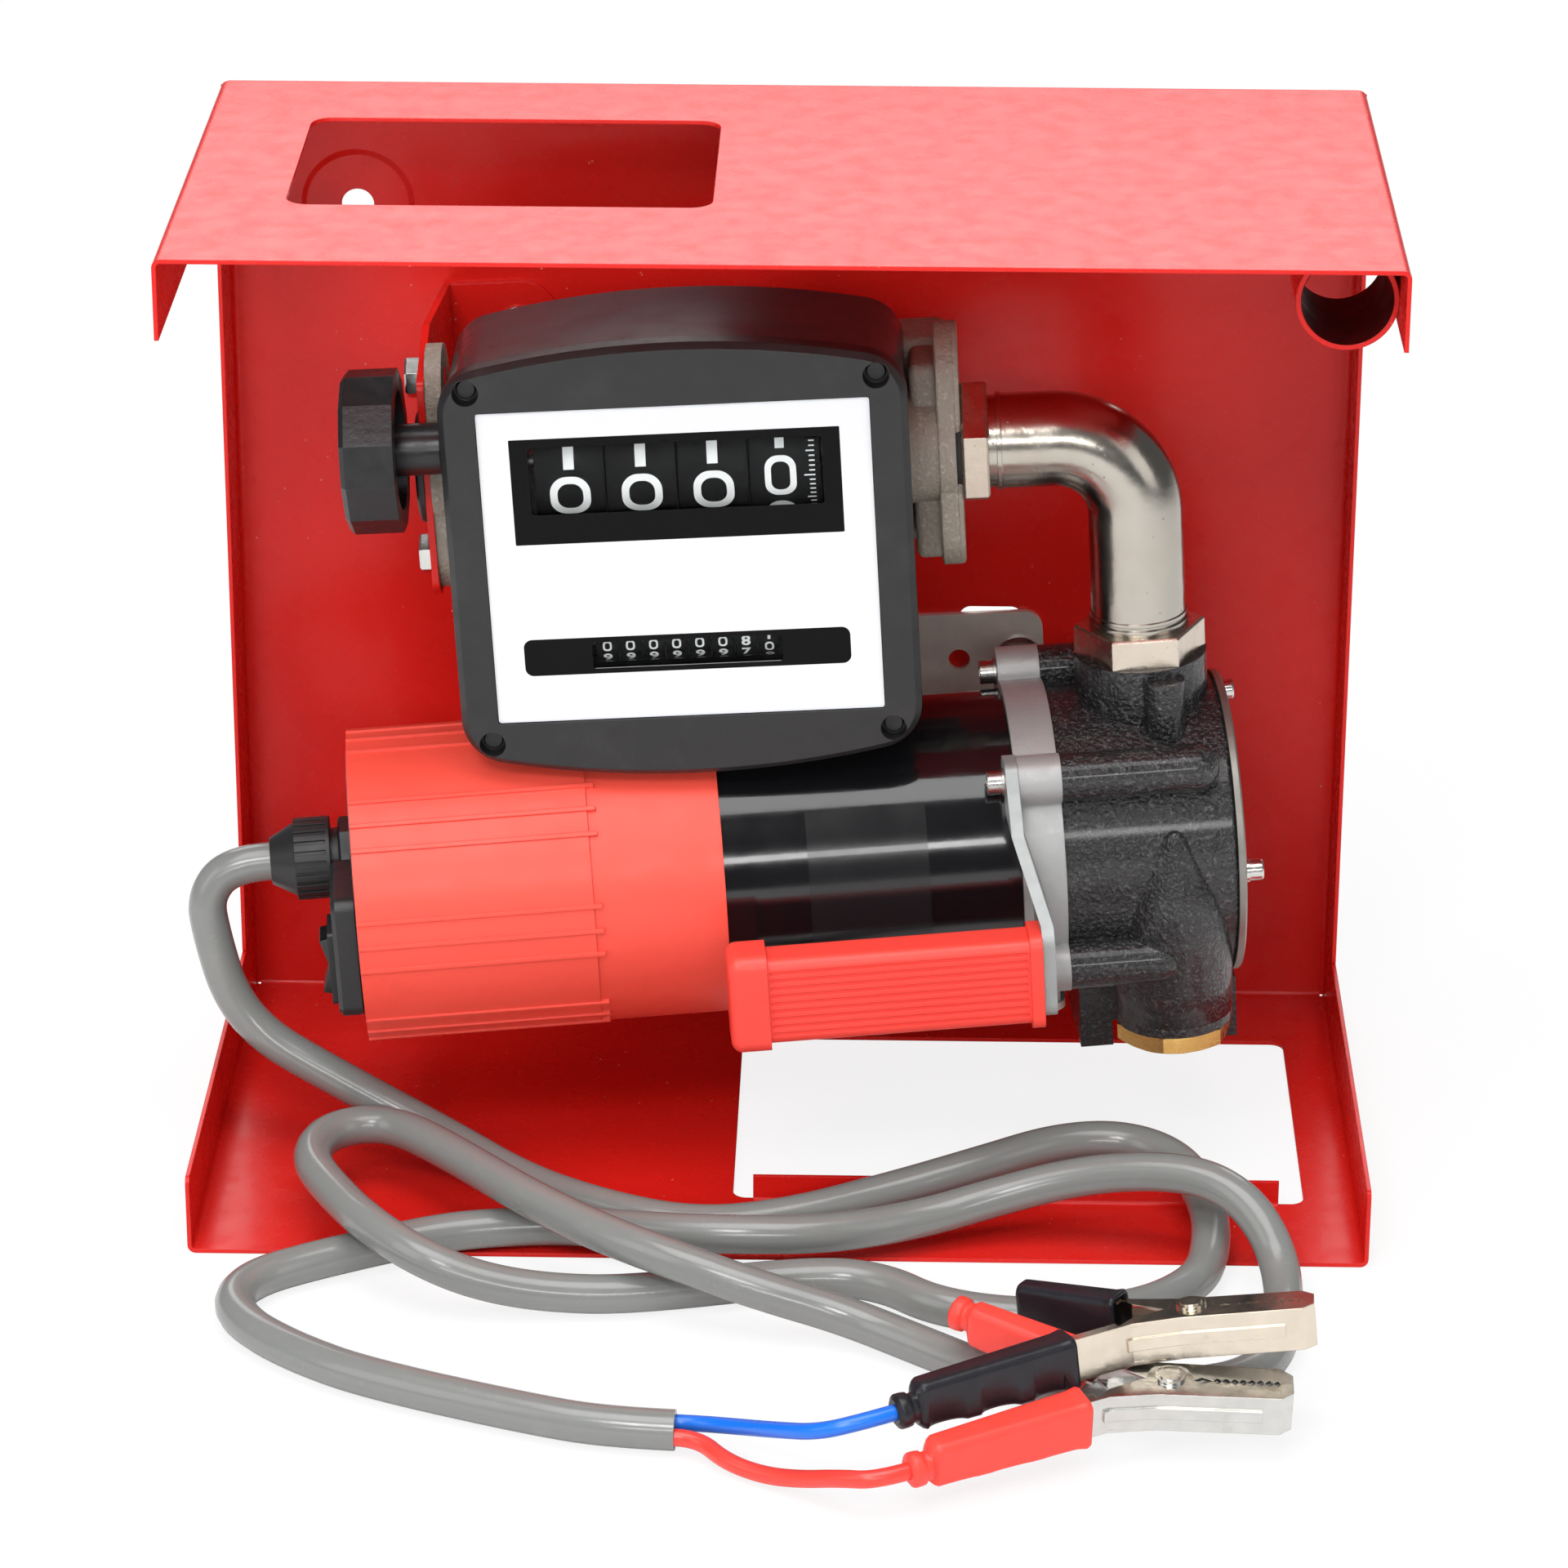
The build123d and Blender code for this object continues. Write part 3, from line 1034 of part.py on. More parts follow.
def digit_openings(y0, y1):
    """Two slots in the case's front for the rims, which stand through it a little."""
    pairs = ((WHEELS_UP, 4 * WHEEL_PITCH, wheel_axis(), WHEEL_R),
             (TOTAL_UP, TOTAL_WHEELS * TOTAL_PITCH, total_axis(), TOTAL_WHEEL_R))
    slots = []
    for up, width, axis, r in pairs:
        deep = axis - CASE_FRONT - BEZEL_DEPTH - CASE_WALL
        tall = 2 * sqrt(r * r - deep * deep)
        slots.append(prism_y(Pos(0, up) * RectangleRounded(width + 2 * WHEEL_PLAY, tall + 2 * WHEEL_PLAY, 2.0), y0, y1))
    return slots[0] + slots[1]


def counter_bezel():
    """The front frame with its sloped edge, a seat for the face and screw wells."""
    back = CASE_FRONT + BEZEL_DEPTH
    bezel = prism_y(case_outline(), CASE_FRONT, back)
    bezel = chamfer(bezel.edges().group_by(Axis.Y)[0], 2.2)
    seat = RectangleRounded(FACE_WIDTH + 0.4, FACE_HEIGHT + 0.4, 1.2)
    depth = FACE_RECESS + FACE_THICK
    bezel -= prism_y(seat, CASE_FRONT - 1, CASE_FRONT + depth)
    bezel -= prism_y(RectangleRounded(FACE_WIDTH - 5, FACE_HEIGHT - 5, 1.2), CASE_FRONT, back + 1)
    for x in (-SCREW_HOLE_X, SCREW_HOLE_X):
        for z in (-SCREW_HOLE_Z, SCREW_HOLE_Z):
            bezel -= rod_y(SCREW_HOLE_R, CASE_FRONT - 1, back - 2.5, x, z)
            bezel -= rod_y(2.1, CASE_FRONT, back + 1, x, z)
    return bezel


def face_plate():
    front = CASE_FRONT + FACE_RECESS
    plate = prism_y(RectangleRounded(FACE_WIDTH, FACE_HEIGHT, 1.0), front, front + FACE_THICK)
    big = Pos(0, WINDOW_UP) * RectangleRounded(WINDOW_W, WINDOW_H, 1.0)
    small = Pos(0, TOTAL_UP) * RectangleRounded(TOTAL_W, TOTAL_H, 1.0)
    plate -= prism_y(big, front - 1, front + FACE_THICK + 1)
    return plate - prism_y(small, front - 1, front + FACE_THICK + 1)


def face_windows():
    """Two clear panes clipped behind the face."""
    front = CASE_FRONT + FACE_RECESS + FACE_THICK
    big = Pos(0, WINDOW_UP) * Rectangle(WINDOW_W + 5, WINDOW_H + 5)
    small = Pos(0, TOTAL_UP) * Rectangle(TOTAL_W + 5, TOTAL_H + 5)
    return Compound([prism_y(s, front, front + GLASS_THICK) for s in (big, small)])


def wheel_axis():
    """The big wheels' axis lies this far behind the face, so their rims clear it."""
    return CASE_FRONT + BEZEL_DEPTH + WHEEL_R - WHEEL_OUT


def total_axis():
    return CASE_FRONT + BEZEL_DEPTH + TOTAL_WHEEL_R - TOTAL_WHEEL_OUT


def digit_wheel(place):
    """One big digit wheel; place 0 is the units, at the right."""
    x = (1.5 - place) * WHEEL_PITCH
    y = wheel_axis()
    wheel = rod_x(WHEEL_R, x - WHEEL_WIDTH / 2, x + WHEEL_WIDTH / 2, y, WHEELS_UP)
    wheel -= rod_x(WHEEL_R - 2.5, x - WHEEL_WIDTH / 2 + 3, x + WHEEL_WIDTH / 2 + 1, y, WHEELS_UP)
    wheel += rod_x(6, x - WHEEL_WIDTH / 2, x + WHEEL_WIDTH / 2, y, WHEELS_UP)
    return wheel - rod_x(AXLE_R + RUN_CLEARANCE, x - WHEEL_WIDTH, x + WHEEL_WIDTH, y, WHEELS_UP)


def total_wheel(place):
    x = ((TOTAL_WHEELS - 1) / 2 - place) * TOTAL_PITCH
    y = total_axis()
    half = TOTAL_WHEEL_WIDTH / 2
    wheel = rod_x(TOTAL_WHEEL_R, x - half, x + half, y, TOTAL_UP)
    return wheel - rod_x(AXLE_R / 2 + RUN_CLEARANCE, x - 2 * half, x + 2 * half, y, TOTAL_UP)


def counter_shafts():
    """The two axles, each held by end plates that stand on the case's front."""
    front = CASE_FRONT + BEZEL_DEPTH + CASE_WALL
    reach = 2 * WHEEL_PITCH + 6
    shaft = rod_x(AXLE_R, -reach, reach, wheel_axis(), WHEELS_UP)
    for side in (-1, 1):
        x = side * (reach - 1.5)
        shaft += block(x - 1.5, x + 1.5, front, wheel_axis() + 6, WHEELS_UP - 6, WHEELS_UP + 6)
    small_reach = TOTAL_WHEELS * TOTAL_PITCH / 2 + 9
    small = rod_x(AXLE_R / 2, -small_reach, small_reach, total_axis(), TOTAL_UP)
    for side in (-1, 1):
        x = side * (small_reach - 1)
        small += block(x - 1, x + 1, front, total_axis() + 4, TOTAL_UP - 4, TOTAL_UP + 4)
    return Compound([shaft, small])


def meter_body():
    """The cast body: a round measuring chamber with a port and a flange each side."""
    body = Pos(METER_X, 0, METER_Z) * rod_y(METER_CHAMBER_R, CHAMBER_FRONT, CHAMBER_REAR)
    body = fillet(body.edges().group_by(Axis.Y)[-1], 6.0)
    flow = rod_x(PORT_R, BODY_LEFT, BODY_RIGHT, 0, FLOW_Z)
    front_room = Pos(METER_X, 0, METER_Z) * prism_y(case_outline(-9), CASE_FRONT, CHAMBER_FRONT)
    body += flow - front_room
    half = METER_FLANGE_HEIGHT / 2
    for x0 in (BODY_LEFT, BODY_RIGHT - METER_FLANGE):
        oval = SlotOverall(METER_FLANGE_HEIGHT, 2 * PORT_R - 6, rotation=90) + Circle(PORT_R + 1)
        body += prism_x(Pos(0, FLOW_Z) * oval, x0, x0 + METER_FLANGE)
    bore = PIPE_R - PIPE_WALL
    for x0, x1 in ((BODY_LEFT - 1, BODY_LEFT + 12), (BODY_RIGHT - 12, BODY_RIGHT + 1)):
        body -= rod_x(bore, x0, x1, 0, FLOW_Z)
    for side in (-1, 1):
        z = FLOW_Z + side * METER_BOLTS / 2
        body -= rod_x(4.0, BODY_LEFT - 1, BODY_LEFT + METER_FLANGE + 1, 0, z)
        body -= rod_x(4.2, BODY_RIGHT - METER_FLANGE - 1, BODY_RIGHT + 1, 0, z)
    return body


def outlet_plug():
    """The cap that closes the meter's outlet until a hose is fitted."""
    face = BODY_LEFT - METER_BRACKET_THICK
    plug = rod_x(20, face - 3.0, face, 0, FLOW_Z)
    plug = fillet(plug.edges().group_by(Axis.X)[0], 1.2)
    plug += rod_x(PORT_R - 2.7, face, BODY_LEFT, 0, FLOW_Z)
    return plug + rod_x(PIPE_R - PIPE_WALL - 0.05, BODY_LEFT, BODY_LEFT + 9, 0, FLOW_Z)


def reset_knob():
    """A twelve-sided knob on a stub shaft that runs into the case's side."""
    face = Pos(KNOB_Y, KNOB_Z) * Rot(0, 0, 7) * RegularPolygon(KNOB_R, KNOB_FLATS)
    knob = prism_x(face, KNOB_LEFT, KNOB_RIGHT)
    knob = chamfer(knob.edges().group_by(Axis.X)[0], 1.8)
    side = METER_X - CASE_WIDTH / 2
    knob += rod_x(KNOB_HUB_R, KNOB_RIGHT, side - 1.5, KNOB_Y, KNOB_Z)
    knob -= rod_x(KNOB_R - 8, KNOB_RIGHT - 5, KNOB_RIGHT + 1, KNOB_Y, KNOB_Z) - rod_x(
        KNOB_HUB_R, KNOB_RIGHT - 6, KNOB_RIGHT + 2, KNOB_Y, KNOB_Z)
    return knob + rod_x(AXLE_R, side - 2, side + 10, KNOB_Y, KNOB_Z)


# Cable and leads


def gland_tip():
    """The end of the gland, which the cable starts from, and the way it points."""
    x = CAP_LEFT - GLAND_TIP - 8.5
    start = PUMP * Pos(x, GLAND_Y, GLAND_Z)
    after = PUMP * Pos(x - EXIT_RUN, GLAND_Y, GLAND_Z)
    return start.position, after.position


def corner_radii(points):
    """For each corner, the arc that its two runs have room for."""
    radii = []
    for a, b, c in zip(points, points[1:], points[2:]):
        turn = radians((b - a).get_angle(c - b))
        radii.append(ARC_SHARE * min((b - a).length, (c - b).length) / tan(turn / 2))
    return radii


def tube_on(points, r, name):
    """A tube on straight runs joined by tangent arcs."""
    points = [Vector(p) for p in points]
    radii = corner_radii(points)
    path = FilletPolyline(points, radius=radii)
    tube = sweep(Plane(path @ 0, z_dir=path % 0) * Circle(r), path)
    print(name, "length", round(path.length), "radii", [round(v) for v in radii])
    print(name, "volume against section times length", round(tube.volume / (pi * r * r * path.length), 4))
    return tube


def cable():
    return tube_on([*gland_tip(), *CABLE_ROUTE], CABLE_R, "cable")


def lead_start(side):
    """Where a lead leaves the cable's cut end, and a point straight out from it."""
    last = Vector(CABLE_ROUTE[-1])
    way = (last - Vector(CABLE_ROUTE[-2])).normalized()
    across = Vector(way.Y, -way.X, 0) * side
    start = last + across * LEAD_SPREAD - Vector(0, 0, side)
    return [start, start + way * LEAD_FIRST_RUN]


def collar_end(clamp, start, length):
    """The collar's end face and a point straight out of it."""
    reach = start + length + COLLAR_LENGTH
    place = clamp * front_handle()
    return [(place * Pos(reach + LEAD_LAST_RUN, 0, 0)).position, (place * Pos(reach, 0, 0)).position]


def lead_blue():
    return tube_on([*lead_start(-1), *BLUE_MIDDLE, *collar_end(BLACK, *BLACK_FRONT)], LEAD_BLUE_R, "lead_blue")


def lead_red():
    return tube_on([*lead_start(1), *RED_MIDDLE, *collar_end(RED, *RED_FRONT)], LEAD_RED_R, "lead_red")


# Battery clamps. A clamp is drawn about its rivet, with the jaws along X and
# the front half on the side of -Y. The other half is its mirror image.


def front_handle():
    """The handle's own frame: X runs out along the front handle from the knee."""
    return Pos(-HANDLE_KNEE, -JAW_HALF - 2.6, 0) * Rot(0, 0, 180 + HANDLE_ANGLE)


def shifted(points, distance):
    """The points of a line moved sideways, with mitred corners."""
    ways = [(Vector(b) - Vector(a)).normalized() for a, b in zip(points, points[1:])]
    sides = [Vector(-w.Y, w.X) for w in ways]
    moved = []
    for k, point in enumerate(points):
        before = sides[max(k - 1, 0)]
        after = sides[min(k, len(sides) - 1)]
        mitre = (before + after).normalized()
        moved.append(Vector(point) + mitre * (distance / mitre.dot(after)))
    return moved


def strip(points, thick):
    """A bent strip of sheet seen on edge, with its thickness to the left of the line."""
    line = [Vector(p) for p in points]
    return make_face(Polyline(line + shifted(points, thick)[::-1], close=True))


def slab(sketch, z0, z1):
    return Pos(0, 0, z0) * extrude(sketch, z1 - z0)


def handle_end(length):
    end = front_handle() * Pos(length, 0, 0)
    return (end.position.X, end.position.Y)


def jaw_line(length):
    """The outer line of a half, from the handle's end round the tip."""
    return [handle_end(length), (-HANDLE_KNEE, -JAW_HALF - 2.6), (-4, -JAW_HALF),
            (JAW_LENGTH - 4, -JAW_HALF + 0.6), (JAW_LENGTH, -JAW_HALF + 4), (JAW_LENGTH, -0.4)]


def ear_outline():
    """One cheek of a half: from the outer line to the toothed edge of the mouth."""
    outer = [(-HANDLE_KNEE - 4, -JAW_HALF - 3.4), (-4, -JAW_HALF + 0.1), (JAW_LENGTH - 4, -JAW_HALF + 0.7),
             (JAW_LENGTH - 0.1, -JAW_HALF + 4), (JAW_LENGTH - 0.1, -0.4), (JAW_LENGTH - 4, -0.4)]
    step = (JAW_LENGTH - 18) / (2 * TEETH)
    mouth = [(JAW_LENGTH - 5 - step * k, -1.0 if k % 2 else -2.6) for k in range(2 * TEETH)]
    inner = [(11, -2.6), (8, -1), (-HANDLE_KNEE + 12, -1), (-HANDLE_KNEE, -JAW_HALF + 2)]
    return make_face(Polyline(outer + mouth + inner, close=True)) + Circle(EAR_R)


def jaw_half(length, height):
    """A pressed channel: its web, its two cheeks, the rib and the handle's lips."""
    web = slab(strip(jaw_line(length), CLAMP_SHEET), -height / 2, height / 2)
    for side in (-1, 1):
        low = height / 2 - CLAMP_SHEET if side > 0 else -height / 2
        web += slab(ear_outline(), low, low + CLAMP_SHEET)
        lip = Pos(length / 2 + 2, -2.2) * Rectangle(length - 4, 3.4)
        web += slab(front_handle() * lip, low, low + CLAMP_SHEET)
    rib_line = [handle_end(2), (-HANDLE_KNEE, -JAW_HALF - 2.6), (-4, -JAW_HALF), (JAW_LENGTH - 10, -JAW_HALF + 0.5)]
    return web + slab(strip(rib_line, -0.9), -2.2, 2.2)


def jaw_fixed(start, length):
    jaw = jaw_half(start + length - 6, CLAMP_HEIGHT)
    half = CLAMP_HEIGHT / 2
    jaw += rod_z(RIVET_R, -half, half)
    for side in (-1, 1):
        head = Pos(0, 0, side * (half + 0.6)) * Cylinder(RIVET_HEAD_R, 1.2)
        jaw += head + Pos(0, 0, side * (half + 1.2)) * Cylinder(RIVET_HEAD_R - 1.2, 1.0)
    return jaw


def jaw_moving(start, length):
    height = CLAMP_HEIGHT - 2 * (CLAMP_SHEET + CLAMP_PLAY)
    jaw = mirror(jaw_half(start + length - 6, height), Plane.XZ)
    return jaw - rod_z(RIVET_R + RUN_CLEARANCE, -CLAMP_HEIGHT, CLAMP_HEIGHT)


def grip_solid(start, length, collar):
    """A moulded grip along the front handle, with finger hollows and a collar."""
    end = start + length
    wide = GRIP_WIDE
    plan = [(start, -wide + 2), (start, 2.6), (end, 3.4), (end, -wide + 4)]
    body = slab(make_face(Polyline(plan, close=True)), -GRIP_TALL / 2, GRIP_TALL / 2)
    taper = make_face(Polyline([(start - 1, -GRIP_TALL / 2), (start - 1, GRIP_TALL / 2),
                                (end + 1, GRIP_TALL / 2 - 2), (end + 1, 2 - GRIP_TALL / 2)], close=True))
    body &= prism_y(taper, -20, 20)
    body = fillet(body.edges().filter_by(lambda e: abs((e % 0.5).X) > 0.9), 2.6)
    pitch = length / 3
    for k in range(3):
        hollow = Cylinder(14, GRIP_TALL * 0.55)
        body -= Pos(start + pitch * (k + 0.55), 15.6, -GRIP_TALL * 0.3) * hollow
    if collar:
        body += rod_x(4.9, end, end + COLLAR_LENGTH, 0, 0)
        body += rod_x(5.9, end + 3, end + COLLAR_LENGTH - 1, 0, 0)
    body -= block(start - 1, start + 5, -wide + 4.5, 1.0, 3 - GRIP_TALL / 2, GRIP_TALL / 2 - 3)
    return body


def clamp_grip(start, length, collar, height):
    grip = front_handle() * grip_solid(start, length, collar)
    return grip - jaw_half(start + length - 6, height)


def grip_moving(start, length, collar):
    height = CLAMP_HEIGHT - 2 * (CLAMP_SHEET + CLAMP_PLAY)
    return mirror(clamp_grip(start, length, collar, height), Plane.XZ)


def clamp_spring():
    """Turns round the rivet, with a leg towards each handle."""
    first = -1 / 4
    last = first + COIL_TURNS
    start, start_way = coil_point(COIL_R, COIL_PITCH, first)
    end, end_way = coil_point(COIL_R, COIL_PITCH, last)
    print("clamp spring gap", round(COIL_PITCH - 2 * COIL_WIRE_R, 2))
    lead_in = Line(start - start_way * COIL_LEG, start)
    lead_out = Line(end, end + end_way * COIL_LEG)
    coil = wire_form([lead_in, *coil_edges(COIL_R, COIL_PITCH, first, last), lead_out], COIL_WIRE_R)
    middle = (first + last) / 2 * COIL_PITCH
    return Pos(0, 0, -middle) * coil

WORLD = {
    "cabinet_shell": cabinet_shell,
    "cable": cable,
    "lead_blue": lead_blue,
    "lead_red": lead_red,
    "nozzle_holder": nozzle_holder,
}
STRAIGHT = {
    "meter_bracket": meter_bracket,
    "pump_bracket": pump_bracket,
    "panel_fasteners": panel_fasteners,
    "meter_mount_bolts": meter_mount_bolts,
    "outlet_nut": outlet_nut,
    "outlet_elbow": outlet_elbow,
    "meter_nut": meter_nut,
    "flange_seal": flange_seal,
    "meter_body": meter_body,
    "outlet_plug": outlet_plug,
    "reset_knob": reset_knob,
}
ON_PUMP = {
    "pump_body": pump_body,
    "pump_cover": pump_cover,
    "cover_screws": cover_screws,
    "inlet_bush": inlet_bush,
    "pump_rotor": pump_rotor,
    "rotor_vanes": rotor_vanes,
    "bypass_poppet": bypass_poppet,
    "bypass_spring": bypass_spring,
    "bypass_plug": bypass_plug,
    "motor_flange": motor_flange,
    "flange_screws": flange_screws,
    "motor_can": motor_can,
    "motor_magnets": motor_magnets,
    "motor_armature": motor_armature,
    "shaft_bearings": shaft_bearings,
    "motor_end_cap": motor_end_cap,
    "motor_sleeve": motor_sleeve,
    "switch_box": switch_box,
    "switch_rocker": switch_rocker,
    "gland_body": gland_body,
    "gland_nut": gland_nut,
    "handle_bracket": handle_bracket,
    "handle_grip": handle_grip,
}
IN_METER = {
    "counter_case": counter_case,
    "counter_bezel": counter_bezel,
    "face_plate": face_plate,
    "face_windows": face_windows,
    "counter_shafts": counter_shafts,
    "wheel_units": lambda: digit_wheel(0),
    "wheel_tens": lambda: digit_wheel(1),
    "wheel_hundreds": lambda: digit_wheel(2),
    "wheel_thousands": lambda: digit_wheel(3),
    "total_wheel_units": lambda: total_wheel(0),
    "total_wheels": lambda: Compound([total_wheel(k) for k in range(1, TOTAL_WHEELS)]),
}


def clamp_makers(colour, front, rear, rear_collar):
    return {
        f"{colour}_jaw_fixed": lambda: jaw_fixed(*front),
        f"{colour}_jaw_moving": lambda: jaw_moving(*rear),
        f"{colour}_grip_fixed": lambda: clamp_grip(*front, True, CLAMP_HEIGHT),
        f"{colour}_grip_moving": lambda: grip_moving(*rear, rear_collar),
        f"{colour}_spring": clamp_spring,
    }


def main():
    os.makedirs("parts", exist_ok=True)
    black = clamp_makers("black", BLACK_FRONT, BLACK_REAR, False)
    red = clamp_makers("red", RED_FRONT, RED_REAR, True)
    groups = ((Location(), WORLD), (TILTED, STRAIGHT), (PUMP, ON_PUMP), (METER, IN_METER), (BLACK, black), (RED, red))
    for frame, makers in groups:
        for node, make in makers.items():
            export_step(frame * make(), f"parts/{node}.step")


main()
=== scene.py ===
import math

import bmesh
import bpy
from mathutils import Matrix, Vector


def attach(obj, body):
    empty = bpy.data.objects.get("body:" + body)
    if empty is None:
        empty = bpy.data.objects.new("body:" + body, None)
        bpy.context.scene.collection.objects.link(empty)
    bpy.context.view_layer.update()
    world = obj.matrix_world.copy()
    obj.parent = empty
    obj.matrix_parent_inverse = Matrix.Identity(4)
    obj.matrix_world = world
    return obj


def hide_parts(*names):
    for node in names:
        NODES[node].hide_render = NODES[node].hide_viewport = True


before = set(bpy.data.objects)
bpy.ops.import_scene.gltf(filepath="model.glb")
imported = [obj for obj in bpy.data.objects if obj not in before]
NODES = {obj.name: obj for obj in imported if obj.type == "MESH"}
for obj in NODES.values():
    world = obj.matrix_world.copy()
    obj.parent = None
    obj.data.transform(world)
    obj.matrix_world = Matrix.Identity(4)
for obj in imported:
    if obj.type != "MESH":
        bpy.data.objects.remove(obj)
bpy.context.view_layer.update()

MM = 0.001

# Camera at the photograph's place
camera = bpy.data.objects.new("camera", bpy.data.cameras.new("camera"))
bpy.context.collection.objects.link(camera)
camera.location = (0.03794, -1.954966, 0.967706)
camera.rotation_euler = (1.1685647, -0.0030798, 0.0208465)
camera.data.sensor_width = 36.0
camera.data.lens = 133.87
camera.data.clip_end = 50.0
bpy.context.scene.camera = camera


def placed(x, y, z, *turns):
    """A frame from a point in millimetres and turns about its own axes in degrees."""
    m = Matrix.Translation((x * MM, y * MM, z * MM))
    for degrees, axis in turns:
        m = m @ Matrix.Rotation(math.radians(degrees), 4, axis)
    return m


# Placing frames of the CAD: the object's own, the tilted assembly, the pump turned on it,
# the meter's face, and the two battery clamps with their front handles
OBJECT = Matrix.Identity(4)
TILTED = placed(127.5, 3.25, 119.5, (-3.3, "Y"))
PUMP = TILTED @ placed(0, 0, 0, (5, "Z"))
METER = TILTED @ placed(-155.5, 0, 131)
BLACK_CLAMP = placed(141.7, -228, 37.5, (-5, "X"), (-6.5, "Y"), (-3, "Z"))
RED_CLAMP = placed(133.5, -244.5, 20.2, (9, "X"), (1, "Y"), (-2, "Z"))
FRONT_HANDLE = placed(-20, -12.3, 0, (208, "Z"))
MIRRORED = Matrix.Diagonal((1, -1, 1, 1))


# Materials


class Finish:
    """A material being built, with its nodes at hand. Scales are per metre, depths in metres."""

    def __init__(self, name, colour, rough=0.5, metal=0.0, coat=0.0, coat_rough=0.05, specular=0.5):
        self.m = bpy.data.materials.new(name)
        self.m.use_nodes = True
        self.tree = self.m.node_tree
        self.shader = self.tree.nodes["Principled BSDF"]
        values = {"Roughness": rough, "Metallic": metal, "Coat Weight": coat,
                  "Coat Roughness": coat_rough, "Specular IOR Level": specular}
        for key, value in values.items():
            self.shader.inputs[key].default_value = value
        self.colour = (*colour, 1)
        self.shader.inputs["Base Color"].default_value = self.colour
        self.normal = None
        self.place = self.node("ShaderNodeTexCoord").outputs["Object"]

    def node(self, kind, **values):
        """A new node; each value sets an attribute or, where it has none of that name, an input."""
        n = self.tree.nodes.new(kind)
        for key, value in values.items():
            if hasattr(n, key):
                setattr(n, key, value)
            else:
                n.inputs[key.replace("_", " ")].default_value = value
        return n

    def link(self, a, b):
        self.tree.links.new(a, b)

    def noise(self, scale, detail=4.0, rough=0.55, stretch=None):
        n = self.node("ShaderNodeTexNoise", Scale=scale, Detail=detail, Roughness=rough)
        place = self.place
        if stretch:
            shape = self.node("ShaderNodeMapping", Scale=stretch)
            self.link(place, shape.inputs["Vector"])
            place = shape.outputs["Vector"]
        self.link(place, n.inputs["Vector"])
        return n.outputs["Fac"]

    def cells(self, scale):
        """The distance to the nearest of many scattered points."""
        n = self.node("ShaderNodeTexVoronoi", Scale=scale)
        self.link(self.place, n.inputs["Vector"])
        return n.outputs["Distance"]

    def ramp(self, value, low, high, to_low=0.0, to_high=1.0):
        n = self.node("ShaderNodeMapRange", From_Min=low, From_Max=high, To_Min=to_low, To_Max=to_high)
        self.link(value, n.inputs["Value"])
        return n.outputs["Result"]

    def times(self, a, b):
        """The product of a value and either another value or a plain number."""
        n = self.node("ShaderNodeMath", operation="MULTIPLY")
        self.link(a, n.inputs[0])
        if isinstance(b, float):
            n.inputs[1].default_value = b
        else:
            self.link(b, n.inputs[1])
        return n.outputs["Value"]

    def tint(self, amount, colour):
        """Mixes another colour in where amount is high."""
        mix = self.node("ShaderNodeMix", data_type="RGBA")
        socket = self.shader.inputs["Base Color"]
        if socket.is_linked:
            self.link(socket.links[0].from_socket, mix.inputs[6])
        else:
            mix.inputs[6].default_value = self.colour
        mix.inputs[7].default_value = (*colour, 1)
        self.link(amount, mix.inputs[0])
        self.link(mix.outputs[2], socket)

    def clouds(self, scale, detail, low, high, amount, colour, rough=0.7):
        """Soft patches of another colour."""
        self.tint(self.ramp(self.noise(scale, detail, rough), low, high, 0.0, amount), colour)

    def bump(self, height, depth, strength=1.0, invert=False):
        n = self.node("ShaderNodeBump", Distance=depth, Strength=strength, invert=invert)
        self.link(height, n.inputs["Height"])
        if self.normal:
            self.link(self.normal, n.inputs["Normal"])
        self.normal = n.outputs["Normal"]
        self.link(self.normal, self.shader.inputs["Normal"])

    def soft_edges(self, radius):
        n = self.node("ShaderNodeBevel", samples=4, Radius=radius)
        self.normal = n.outputs["Normal"]
        self.link(self.normal, self.shader.inputs["Normal"])
        return self

    def uneven(self, low, high, scale):
        """Roughness that varies over the surface."""
        self.link(self.ramp(self.noise(scale, 5), 0.3, 0.7, low, high), self.shader.inputs["Roughness"])


def darker(colour, share):
    return tuple(c * share for c in colour)


def sheet_paint():
    """Stoved red paint: orange peel, slow runs of darker red, pale dust nibs and a few scuffs."""
    f = Finish("sheet_paint", (0.64, 0.013, 0.009), coat=0.05, coat_rough=0.08, specular=0.22)
    f.soft_edges(0.0006)
    f.bump(f.noise(420, 2), 0.00012, 0.35)
    f.bump(f.noise(26, 3), 0.0003, 0.08)
    f.uneven(0.20, 0.32, 90)
    f.tint(f.ramp(f.noise(5, 3, 0.5, (1, 1, 0.45)), 0.45, 0.8, 0.0, 0.16), (0.48, 0.006, 0.006))
    nibs = f.times(f.ramp(f.cells(170), 0.045, 0.075, 1.0, 0.0), f.ramp(f.noise(16, 3), 0.50, 0.60))
    f.tint(f.times(nibs, 0.75), (0.95, 0.42, 0.36))
    f.bump(nibs, 0.0002, 0.6)
    scuffs = f.times(f.ramp(f.noise(190, 4, 0.7, (0.25, 1, 1)), 0.66, 0.72),
                     f.ramp(f.noise(11, 2), 0.60, 0.68))
    f.tint(f.times(scuffs, 0.6), (0.24, 0.012, 0.010))
    return f.m


